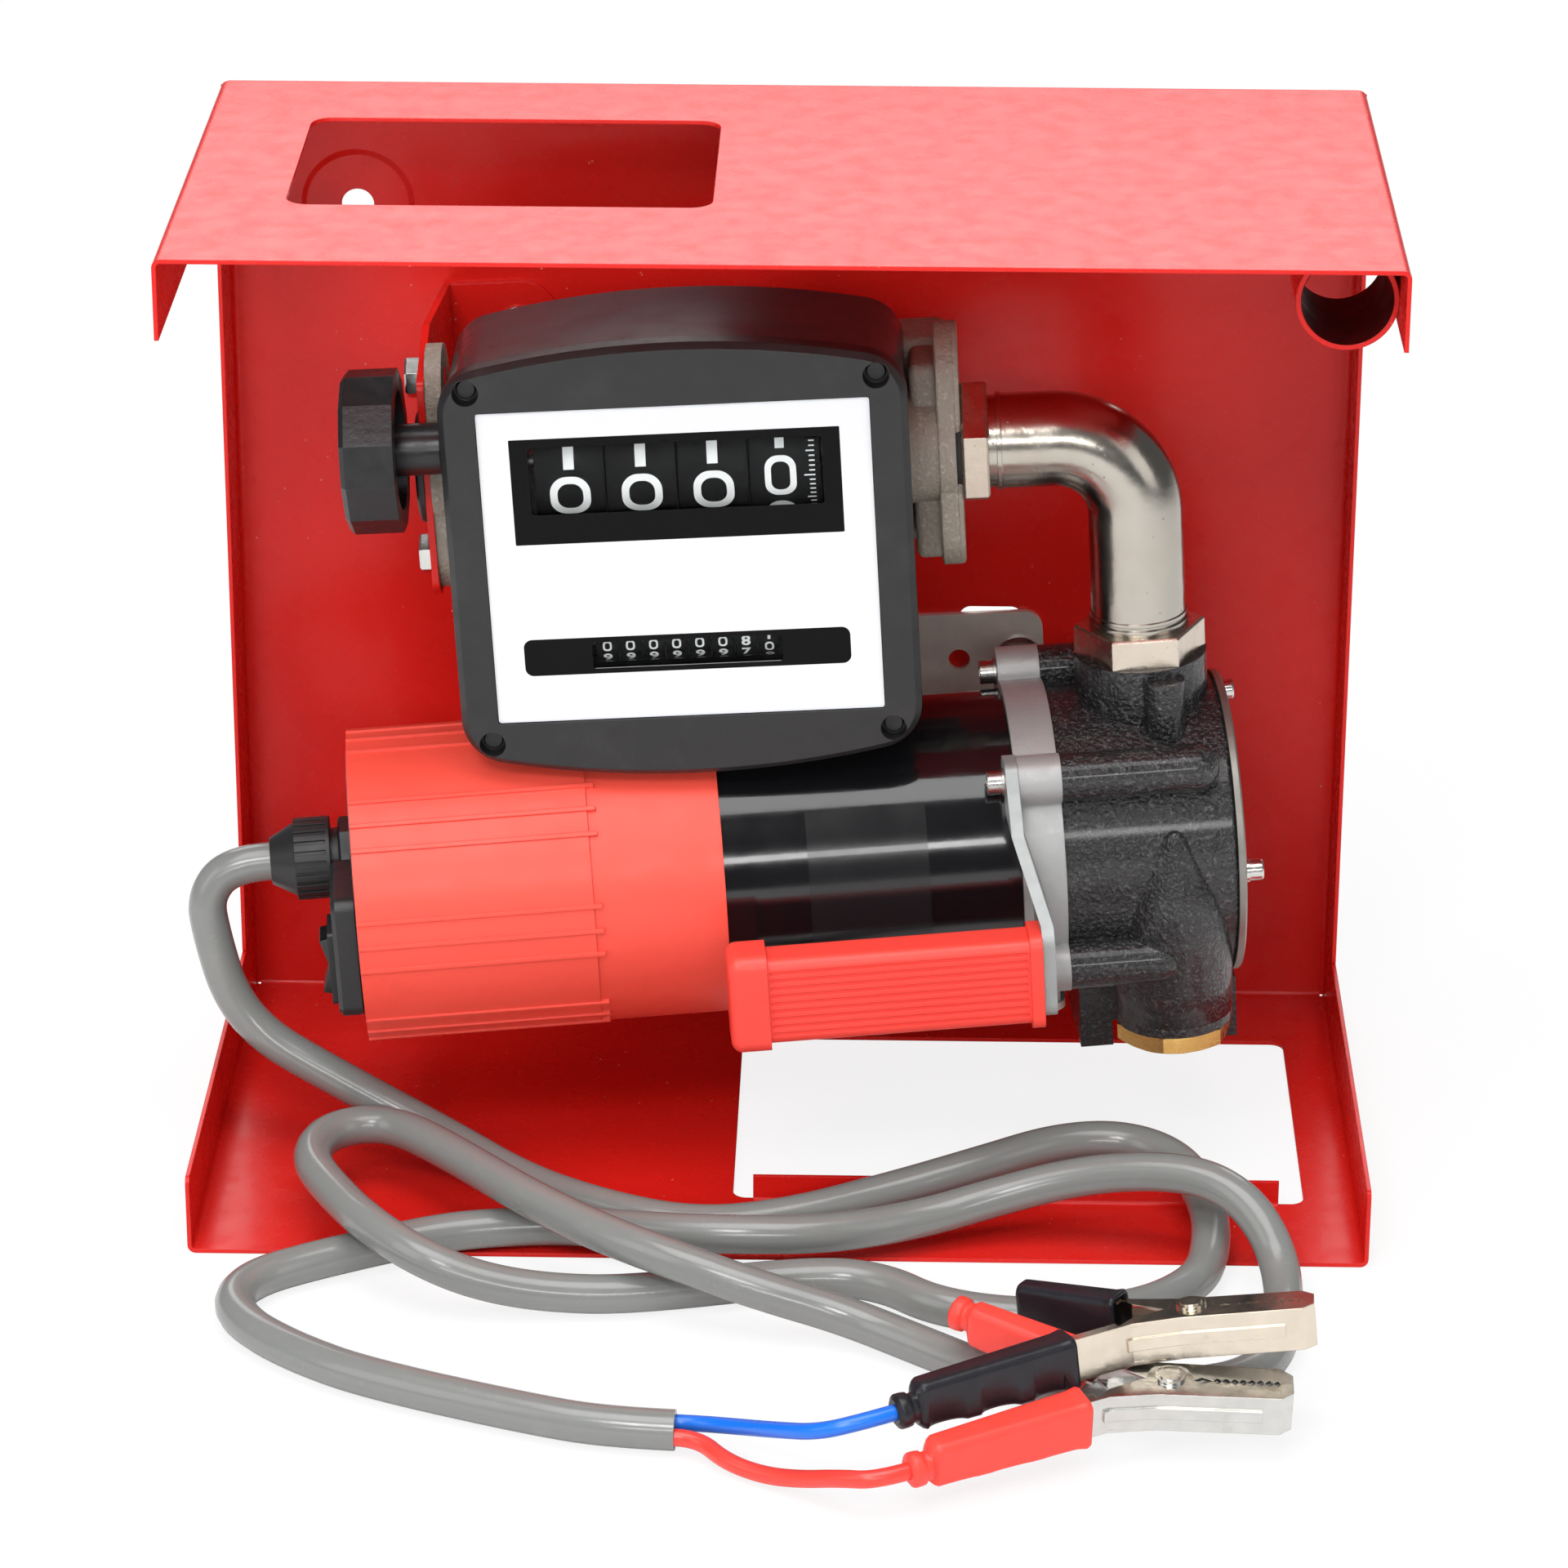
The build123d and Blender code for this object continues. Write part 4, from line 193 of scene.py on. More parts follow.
def zinc(name, colour, rough, metal=1.0, stain=(0.34, 0.31, 0.26)):
    """Plated steel: fine drawing marks, cloudy plating, and a few stained patches."""
    f = Finish(name, colour, metal=metal).soft_edges(0.0004)
    f.bump(f.noise(260, 5), 0.00015, 0.3)
    f.bump(f.noise(420, 2, 0.5, (0.12, 1, 1)), 0.00006, 0.35)
    f.uneven(*rough, 130)
    f.clouds(150, 4, 0.35, 0.75, 0.45, darker(colour, 0.74), 0.6)
    f.clouds(34, 6, 0.60, 0.78, 0.6, stain)
    return f.m


def nickel(name, colour, rough):
    """Plated pipe: a slightly lumpy tube, warm clouds in the plating, and dark pinholes."""
    f = Finish(name, colour, metal=1.0).soft_edges(0.0005)
    f.bump(f.noise(38, 3), 0.0010, 0.30)
    f.bump(f.noise(300, 4), 0.00015, 0.45)
    f.uneven(*rough, 75)
    f.clouds(22, 5, 0.45, 0.80, 0.6, (0.42, 0.35, 0.27), 0.65)
    pits = f.times(f.ramp(f.cells(330), 0.05, 0.13, 1.0, 0.0), f.ramp(f.noise(60, 3), 0.48, 0.60))
    f.tint(f.times(pits, 0.8), (0.10, 0.08, 0.06))
    f.bump(pits, 0.00015, 0.5, invert=True)
    return f.m


def casting(name, colour, pale, depth, grain, rough, coat, specks):
    """A sand casting: coarse grain that glints, paler on its high spots, with specks of another colour."""
    f = Finish(name, colour, coat=coat, coat_rough=0.12).soft_edges(0.0008)
    grains = f.noise(grain, 3, 0.65)
    f.bump(grains, depth)
    f.bump(f.noise(grain * 0.22, 3), depth * 1.4, 0.4)
    f.bump(f.cells(grain * 1.3), depth * 0.5, 0.8, invert=True)
    f.uneven(*rough, 210)
    f.tint(f.ramp(grains, 0.55, 0.66, 0.0, 0.7), pale)
    speckled = f.times(f.ramp(f.noise(grain * 1.2, 4, 0.7), 0.62, 0.68), f.ramp(f.noise(40, 3), 0.56, 0.66))
    f.tint(f.times(speckled, 0.8), specks)
    return f.m


def cast_aluminium():
    f = Finish("cast_aluminium", (0.40, 0.40, 0.395), metal=0.45).soft_edges(0.0005)
    f.bump(f.noise(340, 5, 0.65), 0.0003, 0.5)
    f.uneven(0.38, 0.54, 200)
    f.clouds(60, 6, 0.55, 0.8, 0.5, (0.30, 0.29, 0.28))
    return f.m


def turned_steel():
    f = Finish("turned_steel", (0.52, 0.51, 0.49), metal=1.0).soft_edges(0.0003)
    f.bump(f.noise(90, 3, 0.5, (14, 1, 1)), 0.0001, 0.3)
    f.uneven(0.2, 0.4, 140)
    return f.m


def brass():
    f = Finish("brass", (0.68, 0.44, 0.14), metal=1.0).soft_edges(0.0004)
    f.bump(f.noise(120, 3, 0.5, (1, 1, 9)), 0.0002, 0.3)
    f.uneven(0.18, 0.36, 120)
    f.clouds(40, 5, 0.5, 0.8, 0.6, (0.36, 0.21, 0.07))
    return f.m


def gloss_black(name, colour, rough, specular=0.45):
    """Glossy black with a few fine scratches."""
    f = Finish(name, colour, coat=0.3, coat_rough=0.03, specular=specular).soft_edges(0.0006)
    f.bump(f.noise(190, 3), 0.0001, 0.25)
    f.uneven(*rough, 60)
    f.tint(f.ramp(f.noise(420, 4, 0.7, (1, 8, 1)), 0.72, 0.78, 0.0, 0.25), (0.05, 0.05, 0.05))
    return f.m


def moulded(name, colour, rough, grain=700, depth=0.0001, fleck=None, coat=0.0, specular=0.5):
    """Moulded plastic or rubber with a fine grain, and flecks where it has worn."""
    f = Finish(name, colour, coat=coat, coat_rough=0.15, specular=specular).soft_edges(0.0005)
    f.bump(f.noise(grain, 3), depth, 0.45)
    f.uneven(*rough, 150)
    if fleck:
        f.clouds(45, 6, 0.52, 0.82, 0.45, fleck)
    return f.m


def soft_red(name, colour):
    """Soft red vinyl, which lets a little light in."""
    f = Finish(name, colour, specular=0.4).soft_edges(0.0006)
    f.shader.inputs["Subsurface Weight"].default_value = 0.06
    f.shader.inputs["Subsurface Radius"].default_value = (0.004, 0.0012, 0.0008)
    f.bump(f.noise(520, 3), 0.0001, 0.3)
    f.bump(f.noise(30, 3, 0.5, (1, 3, 3)), 0.0008, 0.2)
    f.uneven(0.32, 0.46, 90)
    f.clouds(60, 6, 0.55, 0.85, 0.35, darker(colour, 0.7))
    return f.m


def sheath(name, colour, rough, dusty):
    """Extruded insulation, a little lumpy and dusty."""
    f = Finish(name, colour, coat=0.15, coat_rough=0.12)
    f.bump(f.noise(70, 4), 0.0005, 0.15)
    f.bump(f.noise(800, 2), 0.00008, 0.3)
    f.uneven(*rough, 70)
    f.clouds(120, 6, 0.55, 0.8, 0.35, dusty, 0.75)
    return f.m


def face_print():
    """The white enamel of the meter's face."""
    f = Finish("face_print", (0.77, 0.79, 0.81), coat=0.2, coat_rough=0.2)
    f.bump(f.noise(900, 2), 0.00005, 0.2)
    f.uneven(0.3, 0.42, 60)
    f.clouds(14, 5, 0.5, 0.9, 0.2, (0.66, 0.66, 0.65))
    return f.m


def clear():
    f = Finish("clear_pane", (0.95, 0.97, 0.98), rough=0.03)
    f.shader.inputs["Transmission Weight"].default_value = 1.0
    f.shader.inputs["IOR"].default_value = 1.12
    f.bump(f.noise(30, 2), 0.00002, 0.05)
    return f.m


RED_SHEET = sheet_paint()
ZINC = zinc("zinc_plate", (0.66, 0.645, 0.58), rough=(0.34, 0.50), metal=0.5)
ZINC_ARM = zinc("zinc_arm", (0.36, 0.38, 0.375), rough=(0.40, 0.55), metal=0.45, stain=(0.27, 0.26, 0.23))
ZINC_BRIGHT = zinc("zinc_bright", (0.61, 0.605, 0.58), rough=(0.14, 0.27))
JAW_BRONZE = zinc("jaw_bronze", (0.70, 0.62, 0.51), rough=(0.12, 0.26))
# Painted shade: a dull, very dark red that stands for the shade inside the nozzle holder's tube
HOLDER_SHADE = moulded("holder_inner_painted_shade", (0.045, 0.004, 0.004), rough=(0.45, 0.6), specular=0.15)
NICKEL = nickel("nickel", (0.45, 0.42, 0.37), rough=(0.15, 0.28))
NUT_NICKEL = nickel("nut_nickel", (0.62, 0.54, 0.455), rough=(0.20, 0.34))
CAST_BLACK = casting("cast_black", (0.013, 0.013, 0.014), pale=(0.085, 0.084, 0.087), depth=0.0012, grain=500,
                     rough=(0.17, 0.27), coat=0.4, specks=(0.30, 0.30, 0.31))
CAST_METER = casting("cast_meter", (0.27, 0.235, 0.19), pale=(0.42, 0.37, 0.31), depth=0.0005, grain=520,
                     rough=(0.42, 0.58), coat=0.0, specks=(0.05, 0.30, 0.20))
CAST_ALU = cast_aluminium()
STEEL = turned_steel()
COVER_STEEL = zinc("cover_steel", (0.30, 0.285, 0.26), rough=(0.34, 0.5), metal=0.8, stain=(0.16, 0.15, 0.13))
BRASS = brass()
GLOSS_BLACK = gloss_black("gloss_black", (0.005, 0.005, 0.006), rough=(0.09, 0.16))
HOOD_BLACK = gloss_black("hood_black", (0.032, 0.034, 0.037), rough=(0.26, 0.40))
BLACK = moulded("black_moulded", (0.012, 0.012, 0.013), rough=(0.34, 0.5), fleck=(0.03, 0.03, 0.03))
BEZEL = moulded("bezel_moulded", (0.012, 0.012, 0.013), rough=(0.36, 0.5), grain=420, depth=0.0002,
                fleck=(0.035, 0.034, 0.032))
KNOB = moulded("knob_moulded", (0.010, 0.010, 0.011), rough=(0.26, 0.42), grain=520, depth=0.0002,
               fleck=(0.04, 0.04, 0.04))
VINYL_BLACK = moulded("vinyl_black", (0.012, 0.012, 0.016), rough=(0.30, 0.42), grain=160, depth=0.0004,
                      fleck=(0.025, 0.025, 0.031), coat=0.05, specular=0.35)
VINYL_RED = soft_red("vinyl_red", (0.90, 0.060, 0.042))
SLEEVE_RED = soft_red("sleeve_red", (0.90, 0.085, 0.055))
STICKER = gloss_black("sticker_film", (0.011, 0.011, 0.012), rough=(0.16, 0.22), specular=0.35)
SEAL = moulded("seal_rubber", (0.012, 0.012, 0.012), rough=(0.6, 0.75))
WHEEL_BLACK = moulded("wheel_black", (0.0035, 0.0035, 0.0035), rough=(0.45, 0.55), specular=0.12)
FACE = face_print()
PANE = clear()
INK_WHITE = moulded("ink_white", (0.90, 0.90, 0.88), rough=(0.4, 0.5))
INK_BLACK = moulded("ink_black", (0.003, 0.003, 0.003), rough=(0.26, 0.34), specular=0.10)
CABLE_GREY = sheath("cable_grey", (0.205, 0.210, 0.200), rough=(0.17, 0.28), dusty=(0.28, 0.28, 0.26))
LEAD_BLUE = sheath("lead_blue_skin", (0.002, 0.150, 0.70), rough=(0.26, 0.38), dusty=(0.01, 0.18, 0.62))
LEAD_RED = sheath("lead_red_skin", (0.78, 0.045, 0.03), rough=(0.28, 0.4), dusty=(0.62, 0.06, 0.045))

DRESS = (
    (RED_SHEET, "cabinet_shell nozzle_holder meter_bracket"),
    (ZINC, "pump_bracket"),
    (ZINC_ARM, "handle_bracket"),
    (ZINC_BRIGHT, "panel_fasteners meter_mount_bolts cover_screws shaft_bearings"),
    (ZINC_BRIGHT, "red_jaw_fixed red_jaw_moving"),
    (JAW_BRONZE, "black_jaw_fixed black_jaw_moving"),
    (STEEL, "flange_screws pump_rotor bypass_spring motor_armature counter_shafts black_spring red_spring"),
    (COVER_STEEL, "pump_cover"),
    (BRASS, "inlet_bush bypass_plug bypass_poppet"),
    (NICKEL, "outlet_elbow"),
    (NUT_NICKEL, "outlet_nut meter_nut"),
    (CAST_METER, "meter_body"),
    (CAST_BLACK, "pump_body motor_magnets"),
    (CAST_ALU, "motor_flange"),
    (GLOSS_BLACK, "motor_can switch_rocker"),
    (HOOD_BLACK, "counter_case"),
    (BLACK, "outlet_plug rotor_vanes motor_end_cap switch_box gland_body gland_nut"),
    (BEZEL, "counter_bezel"),
    (KNOB, "reset_knob"),
    (SEAL, "flange_seal"),
    (FACE, "face_plate"),
    (PANE, "face_windows"),
    (WHEEL_BLACK, "wheel_units wheel_tens wheel_hundreds wheel_thousands total_wheel_units total_wheels"),
    (SLEEVE_RED, "motor_sleeve"),
    (VINYL_RED, "handle_grip red_grip_fixed red_grip_moving"),
    (VINYL_BLACK, "black_grip_fixed black_grip_moving"),
)
for finish, names in DRESS:
    for name in names.split():
        NODES[name].data.materials.clear()
        NODES[name].data.materials.append(finish)


# Cable and leads: the routes of the CAD, in millimetres, as smooth curves


def cord_curve(name, points, diameter, finish):
    curve = bpy.data.curves.new(name, "CURVE")
    curve.dimensions = "3D"
    curve.bevel_depth = diameter / 2
    curve.bevel_resolution = 6
    curve.use_fill_caps = True
    spline = curve.splines.new("NURBS")
    spline.points.add(len(points) - 1)
    for p, place in zip(spline.points, points):
        p.co = (*(v * MM for v in place), 1)
    spline.order_u = 3
    spline.use_endpoint_u = True
    spline.resolution_u = 12
    curve.materials.append(finish)
    obj = bpy.data.objects.new(name, curve)
    bpy.context.collection.objects.link(obj)
    return obj


CABLE_POINTS = [
    (-186.35, -18.18, 110.92), (-201.3, -19.5, 110.1),
    (-210.6, -22.6, 98.6), (-208, -24.5, 82.9), (-202, -28, 62), (-190, -31, 47), (-169, -36, 36),
    (-121, -48, 14.2), (-93, -71, 8.8), (-63, -92, 8.8), (-30, -105, 8.8), (2, -98, 8.8),
    (40, -82, 12), (72, -74, 18.8), (101, -58, 21), (126, -55.5, 21), (144.5, -69.5, 20),
    (153.5, -91, 15), (154.7, -111, 9), (149.5, -138, 7), (128, -160, 7), (92, -168, 7),
    (57.5, -161, 7), (37, -141, 7), (11, -138, 7), (-50, -154, 7), (-79, -155.5, 8.2),
    (-102, -157, 13), (-122, -154.5, 20), (-143, -136, 24), (-158, -110, 24), (-168.5, -87, 24),
    (-166, -67.5, 24.3), (-154, -57.8, 24.5), (-139, -59, 24.5), (-121, -77.5, 25), (-87, -119, 26),
    (-60, -144, 25.5), (-33, -161, 24), (-5, -170, 18), (24, -172, 10), (49, -186.5, 7), (87, -217, 7),
    (111, -222.5, 7), (140, -216.5, 7), (163, -208, 7), (174, -186, 7), (177.5, -158, 7.5),
    (177, -139, 14), (171.5, -128, 24), (162, -117.5, 31), (148.5, -109.5, 34), (128, -102.5, 32),
    (104, -97, 26), (78, -97, 18), (52, -104, 12.5), (20, -119.5, 14), (-12, -125, 16),
    (-44, -117.5, 13), (-73.5, -105.5, 9), (-99.5, -107.5, 8.8), (-122.5, -113, 8.8), (-170, -135, 7),
    (-185, -148, 7), (-189, -164, 7), (-181, -181, 7), (-163, -198.5, 7), (-137, -216, 7),
    (-80, -239.5, 7), (-53.5, -247.5, 7), (-31, -249, 7)]
BLUE_POINTS = [(-30.8, -245.7, 8.0), (-22.8, -246.2, 8.0), (-9.5, -255.2, 12), (3, -269.4, 19),
               (16.7, -282.2, 25.5), (31.2, -282.4, 29.6), (42.0, -277.2, 30.4)]
RED_POINTS = [(-31.2, -252.3, 6.0), (-23.2, -252.8, 6.0), (-13.7, -264.7, 4.2), (-1.5, -272, 3.4),
              (10.5, -279, 6), (24.5, -288.5, 12), (35.8, -293.5, 14.2), (46.6, -288.2, 14.8)]

cable = cord_curve("cable_sheath", CABLE_POINTS, 0.014, CABLE_GREY)
blue = cord_curve("blue_lead_skin", BLUE_POINTS, 0.0056, LEAD_BLUE)
red = cord_curve("red_lead_skin", RED_POINTS, 0.006, LEAD_RED)
for piece, node in ((cable, "cable"), (blue, "lead_blue"), (red, "lead_red")):
    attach(piece, "cabinet")
    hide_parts(node)


# Shared mesh work


def mesh_object(name, bm, place, finish, body):
    """A piece from a mesh that is drawn in a placing frame, riding on a body."""
    mesh = bpy.data.meshes.new(name)
    bm.to_mesh(mesh)
    bm.free()
    mesh.transform(place)
    mesh.materials.append(finish)
    obj = bpy.data.objects.new(name, mesh)
    bpy.context.collection.objects.link(obj)
    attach(obj, body)
    return obj


def circle(count):
    """Cosine and sine of equal steps round a circle."""
    return [(math.cos(k * math.tau / count), math.sin(k * math.tau / count)) for k in range(count)]


def round_box(w, h, r, corner=8):
    """Points round a rectangle with rounded corners, centred on the origin."""
    points = []
    for k, (sx, sz) in enumerate(((1, 1), (-1, 1), (-1, -1), (1, -1))):
        for j in range(corner + 1):
            a = (k + j / corner) * math.pi / 2
            points.append((sx * (w / 2 - r) + r * math.cos(a), sz * (h / 2 - r) + r * math.sin(a)))
    return points


def loop_of(bm, points):
    """New vertices at the points, in their order."""
    return [bm.verts.new(p) for p in points]


def skin(bm, loops, closed=True):
    """Quads between neighbouring loops of as many points."""
    for a, b in zip(loops, loops[1:]):
        for k in range(len(a) if closed else len(a) - 1):
            j = (k + 1) % len(a)
            bm.faces.new((a[k], a[j], b[j], b[k]))


def solid_skin(bm, loops):
    """Quads between closed loops, and a face over each end."""
    skin(bm, loops)
    bm.faces.new(loops[0])
    bm.faces.new(loops[-1])
    bmesh.ops.recalc_face_normals(bm, faces=bm.faces[:])


def smooth_all(bm):
    for face in bm.faces:
        face.smooth = True
    return bm


def smooth_sides(bm):
    """Smooth quads, with the end faces left flat."""
    for face in bm.faces:
        face.smooth = len(face.verts) == 4
    return bm


def in_metres(bm):
    """A mesh that was drawn in millimetres, in metres."""
    bmesh.ops.scale(bm, vec=(MM, MM, MM), verts=bm.verts[:])
    return bm


# Grips of the battery clamps, in millimetres along a handle's own frame

GRIP_INNER = -8.9
GRIP_MOUTH = ((5.0, 1.7), (0.6, 1.5), (-0.3, 0.9), (0.0, 0.1))
GRIP_COLLAR = ((0.4, 5.2), (2.4, 4.9), (2.9, 5.0), (3.2, 5.8), (4.6, 6.0), (6.6, 6.0), (7.2, 5.7), (7.5, 4.6),
               (8.0, 4.4))
GRIP_CORNER = 6
GRIP_STEPS = 48
FINGERS = 3


def grip_ring(bm, x, low, high, half, r, scoop=0.0):
    """A rounded section across the handle; the scoop is pressed into its outer side, off its middle."""
    points = []
    for u, w in round_box(high - low, 2 * half, r, GRIP_CORNER):
        y = (low + high) / 2 + u
        if u > 0:
            y -= scoop * min(1.0, u / (0.3 * (high - low))) * max(0.0, 1 - ((w + 0.40 * half) / half) ** 4)
        points.append((x, y, w))
    return loop_of(bm, points)


def grip_sleeve(start, length, scoop_depth, outer, half, collar):
    """A vinyl sleeve along a handle: open mouth with a rolled lip, finger scoops and a ringed collar."""
    bm = bmesh.new()
    loops = []
    for along, inset in GRIP_MOUTH:
        loops.append(grip_ring(bm, start + along, GRIP_INNER + inset, outer - inset, half - inset,
                               max(2.9 - inset, 1.0)))
    for k in range(1, GRIP_STEPS + 1):
        t = k / GRIP_STEPS
        # Hollows for the fingers, a swollen mouth, and a shoulder towards the collar
        round_finger = max(0.0, 1 - (((FINGERS * t) % 1.0 - 0.5) / 0.36) ** 2) ** 0.5
        scoop = scoop_depth * round_finger if 0.045 < t < 0.955 else 0.0
        swell = 0.5 * max(0.0, 1 - t / 0.08) - 1.6 * max(0.0, (t - 0.95) / 0.05) ** 2
        loops.append(grip_ring(bm, start + t * length, GRIP_INNER + 2.3 * t - swell, outer - 0.2 * t + swell,
                               half - 0.9 * t + swell, 3.0, scoop))
    if collar:
        turn = [(u / 5, w / 5) for u, w in round_box(10, 10, 4.999, GRIP_CORNER)]
        for along, r in GRIP_COLLAR:
            loops.append(loop_of(bm, ((start + length + along, r * c, r * d) for c, d in turn)))
    solid_skin(bm, loops)
    return smooth_sides(in_metres(bm))


def clamp_grips(colour, clamp, finish, front, rear):
    """The two grips of a clamp: one on its fixed half, one mirrored on its moving half."""
    fixed = mesh_object(f"{colour}_grip_front", front, clamp @ FRONT_HANDLE, finish, "cabinet")
    bmesh.ops.transform(rear, matrix=MIRRORED @ FRONT_HANDLE, verts=rear.verts[:])
    bmesh.ops.reverse_faces(rear, faces=rear.faces[:])
    moving = mesh_object(f"{colour}_grip_rear", rear, clamp, finish, f"{colour}_lever")
    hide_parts(f"{colour}_grip_fixed")
    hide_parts(f"{colour}_grip_moving")
    return [fixed, moving]


FRONT_GRIP = {"outer": 4.0, "half": 9.3, "collar": True}
REAR_GRIP = {"outer": 2.6, "half": 8.7, "scoop_depth": 2.0}
BLACK_GRIPS = clamp_grips("black", BLACK_CLAMP, VINYL_BLACK,
                          grip_sleeve(22.0, 58.0, scoop_depth=3.1, **FRONT_GRIP),
                          grip_sleeve(3.0, 40.0, collar=False, **REAR_GRIP))
RED_GRIPS = clamp_grips("red", RED_CLAMP, VINYL_RED,
                        grip_sleeve(8.0, 58.0, scoop_depth=0.3, **FRONT_GRIP),
                        grip_sleeve(8.0, 44.0, collar=True, **REAR_GRIP))


# Print and screws of the meter, in metres in the meter's frame

FACE_Y = -0.0540
PRINT_PROUD = 0.00006
WHEEL_R, WHEEL_Y, WHEEL_UP, WHEEL_STEP = 0.0275, -0.0205, 0.0282, 0.0251
TOTAL_R, TOTAL_Y, TOTAL_UP, TOTAL_STEP = 0.0075, -0.0395, -0.0337, 0.00817
WHEEL_PROUD = 0.00008
UNITS_LEFT = 0.0016
# Height, width and stroke of a numeral
BIG_FIGURE = (0.0148, 0.0142, 0.0026)
UNITS_FIGURE = (0.0148, 0.0110, 0.0022)
TOTAL_FIGURE = (0.0037, 0.0032, 0.0007)


def ring_mesh(outer, inner):
    """Flat faces between two loops of as many points."""
    bm = bmesh.new()
    skin(bm, [loop_of(bm, ((u, w, 0) for u, w in outline)) for outline in (outer, inner)])
    return bm


def zero_mesh(height, width, stroke):
    """The broad, nearly square nought of a counter wheel."""
    r = 0.42 * width
    outer = round_box(width, height, r)
    inner = round_box(width - 2 * stroke, height - 2 * stroke, r - 0.8 * stroke)
    return ring_mesh(outer, inner)


def one_mesh(height, stroke):
    """A plain one with a slanted flag."""
    bm = bmesh.new()
    half = 0.72 * stroke
    points = ((-half, -height / 2), (half, -height / 2), (half, height / 2), (-0.2 * half, height / 2),
              (-1.9 * half, 0.32 * height), (-1.9 * half, 0.22 * height), (-half, 0.30 * height))
    bm.faces.new(loop_of(bm, ((u, w, 0) for u, w in points)))
    return bm


def figure_mesh(text, height, width):
    """Any other numeral, from Blender's own letter shapes, widened and made bold."""
    curve = bpy.data.curves.new("numeral", "FONT")
    curve.body = text
    curve.align_x = "CENTER"
    curve.resolution_u = 8
    curve.offset = 0.03
    obj = bpy.data.objects.new("numeral", curve)
    mesh = bpy.data.meshes.new_from_object(obj)
    bm = bmesh.new()
    bm.from_mesh(mesh)
    xs = [v.co.x for v in bm.verts]
    ys = [v.co.y for v in bm.verts]
    grow = height / (max(ys) - min(ys))
    wide = min(width / (max(xs) - min(xs)), 1.6 * grow)
    middle = Vector(((max(xs) + min(xs)) / 2, (max(ys) + min(ys)) / 2, 0))
    for v in bm.verts:
        v.co = (v.co - middle) * grow
        v.co.x *= wide / grow
    bpy.data.objects.remove(obj)
    bpy.data.meshes.remove(mesh)
    return bm


def digit_mesh(text, height, width, stroke):
    """A flat numeral, cut across often enough to follow a wheel's rim."""
    if text == "0":
        bm = zero_mesh(height, width, stroke)
    elif text == "1":
        bm = one_mesh(height, stroke)
    else:
        bm = figure_mesh(text, height, width)
    for k in range(-5, 6):
        geometry = bm.verts[:] + bm.edges[:] + bm.faces[:]
        bmesh.ops.bisect_plane(bm, geom=geometry, plane_co=(0, k * height / 11, 0), plane_no=(0, 1, 0))
    return bm


def on_rim(centre, r, across, a):
    """A point on a wheel's rim, at an angle up from the reader's side."""
    x, y, z = centre
    return Vector((x + across, y - r * math.cos(a), z + r * math.sin(a)))


def wheel_print(name, body, centre, r, figure, first_digit=0, turned=0.0, ticks=False):
    """Ten numerals round a wheel; the first digit faces the reader, but for the turned share of a step."""
    full = bmesh.new()
    for k in range(10):
        bm = digit_mesh(str((first_digit + k) % 10), *figure)
        for v in bm.verts:
            v.co = on_rim(centre, r, v.co.x, v.co.y / r + (k + turned) * math.tau / 10)
        part = bpy.data.meshes.new("part")
        bm.to_mesh(part)
        bm.free()
        full.from_mesh(part)
        bpy.data.meshes.remove(part)
    if ticks:
        tick_scale(full, centre, r)
    mesh_object(name, full, METER, INK_WHITE, body)


def tick_scale(full, centre, r):
    """A short mark for each tenth round the units wheel's right rim, longer at the figures."""
    right = 0.0121
    half = 0.00026 / r
    for k in range(100):
        a = k * math.tau / 100
        left = right - (0.0038 if k % 10 == 0 else 0.0030 if k % 5 == 0 else 0.0020)
        corners = ((left, a - half), (right, a - half), (right, a + half), (left, a + half))
        full.faces.new(loop_of(full, (on_rim(centre, r, u, b) for u, b in corners)))


# The units wheel's nought faces the reader; the other three noughts stand a quarter of a step low
wheel_print("units_numerals", "units", (1.5 * WHEEL_STEP - UNITS_LEFT, WHEEL_Y, WHEEL_UP),
            WHEEL_R + WHEEL_PROUD, UNITS_FIGURE, ticks=True)
for k, name in enumerate(("tens", "hundreds", "thousands")):
    wheel_print(f"{name}_numerals", name, ((0.5 - k) * WHEEL_STEP, WHEEL_Y, WHEEL_UP), WHEEL_R + WHEEL_PROUD,
                BIG_FIGURE, turned=-0.25)
# The lower row, from the right: a wheel between two figures, then an eight, then noughts
for k in range(8):
    wheel_print(f"total_numerals_{k}", "total_units" if k == 0 else "cabinet",
                ((3.5 - k) * TOTAL_STEP, TOTAL_Y, TOTAL_UP), TOTAL_R + PRINT_PROUD, TOTAL_FIGURE,
                first_digit=8 if k == 1 else 0, turned=-0.45 if k == 0 else 0.12)


def wheel_trough():
    """A dark trough behind the small wheels, which closes the view into the hood."""
    bm = bmesh.new()
    section = ((-0.0428, -0.0225), (-0.0300, -0.0235), (-0.0290, -0.0440), (-0.0428, -0.0450))
    rows = [loop_of(bm, ((x, y, z) for x in (-0.039, 0.039))) for y, z in section]
    skin(bm, rows, closed=False)
    for k in (0, 1):
        bm.faces.new([row[k] for row in rows])
    bmesh.ops.bevel(bm, geom=bm.edges[:], offset=0.0006, segments=2, affect="EDGES")
    return bm


def print_field(name, up, field, window_up, window):
    """A printed field just in front of the face, without its window; each has a width, height and corner."""
    flat = ring_mesh([(u, w + up) for u, w in round_box(*field)],
                     [(u, w + window_up) for u, w in round_box(*window)])
    for v in flat.verts:
        v.co = Vector((v.co.x, FACE_Y - PRINT_PROUD, v.co.y))
    mesh_object(name, flat, METER, INK_BLACK, "cabinet")


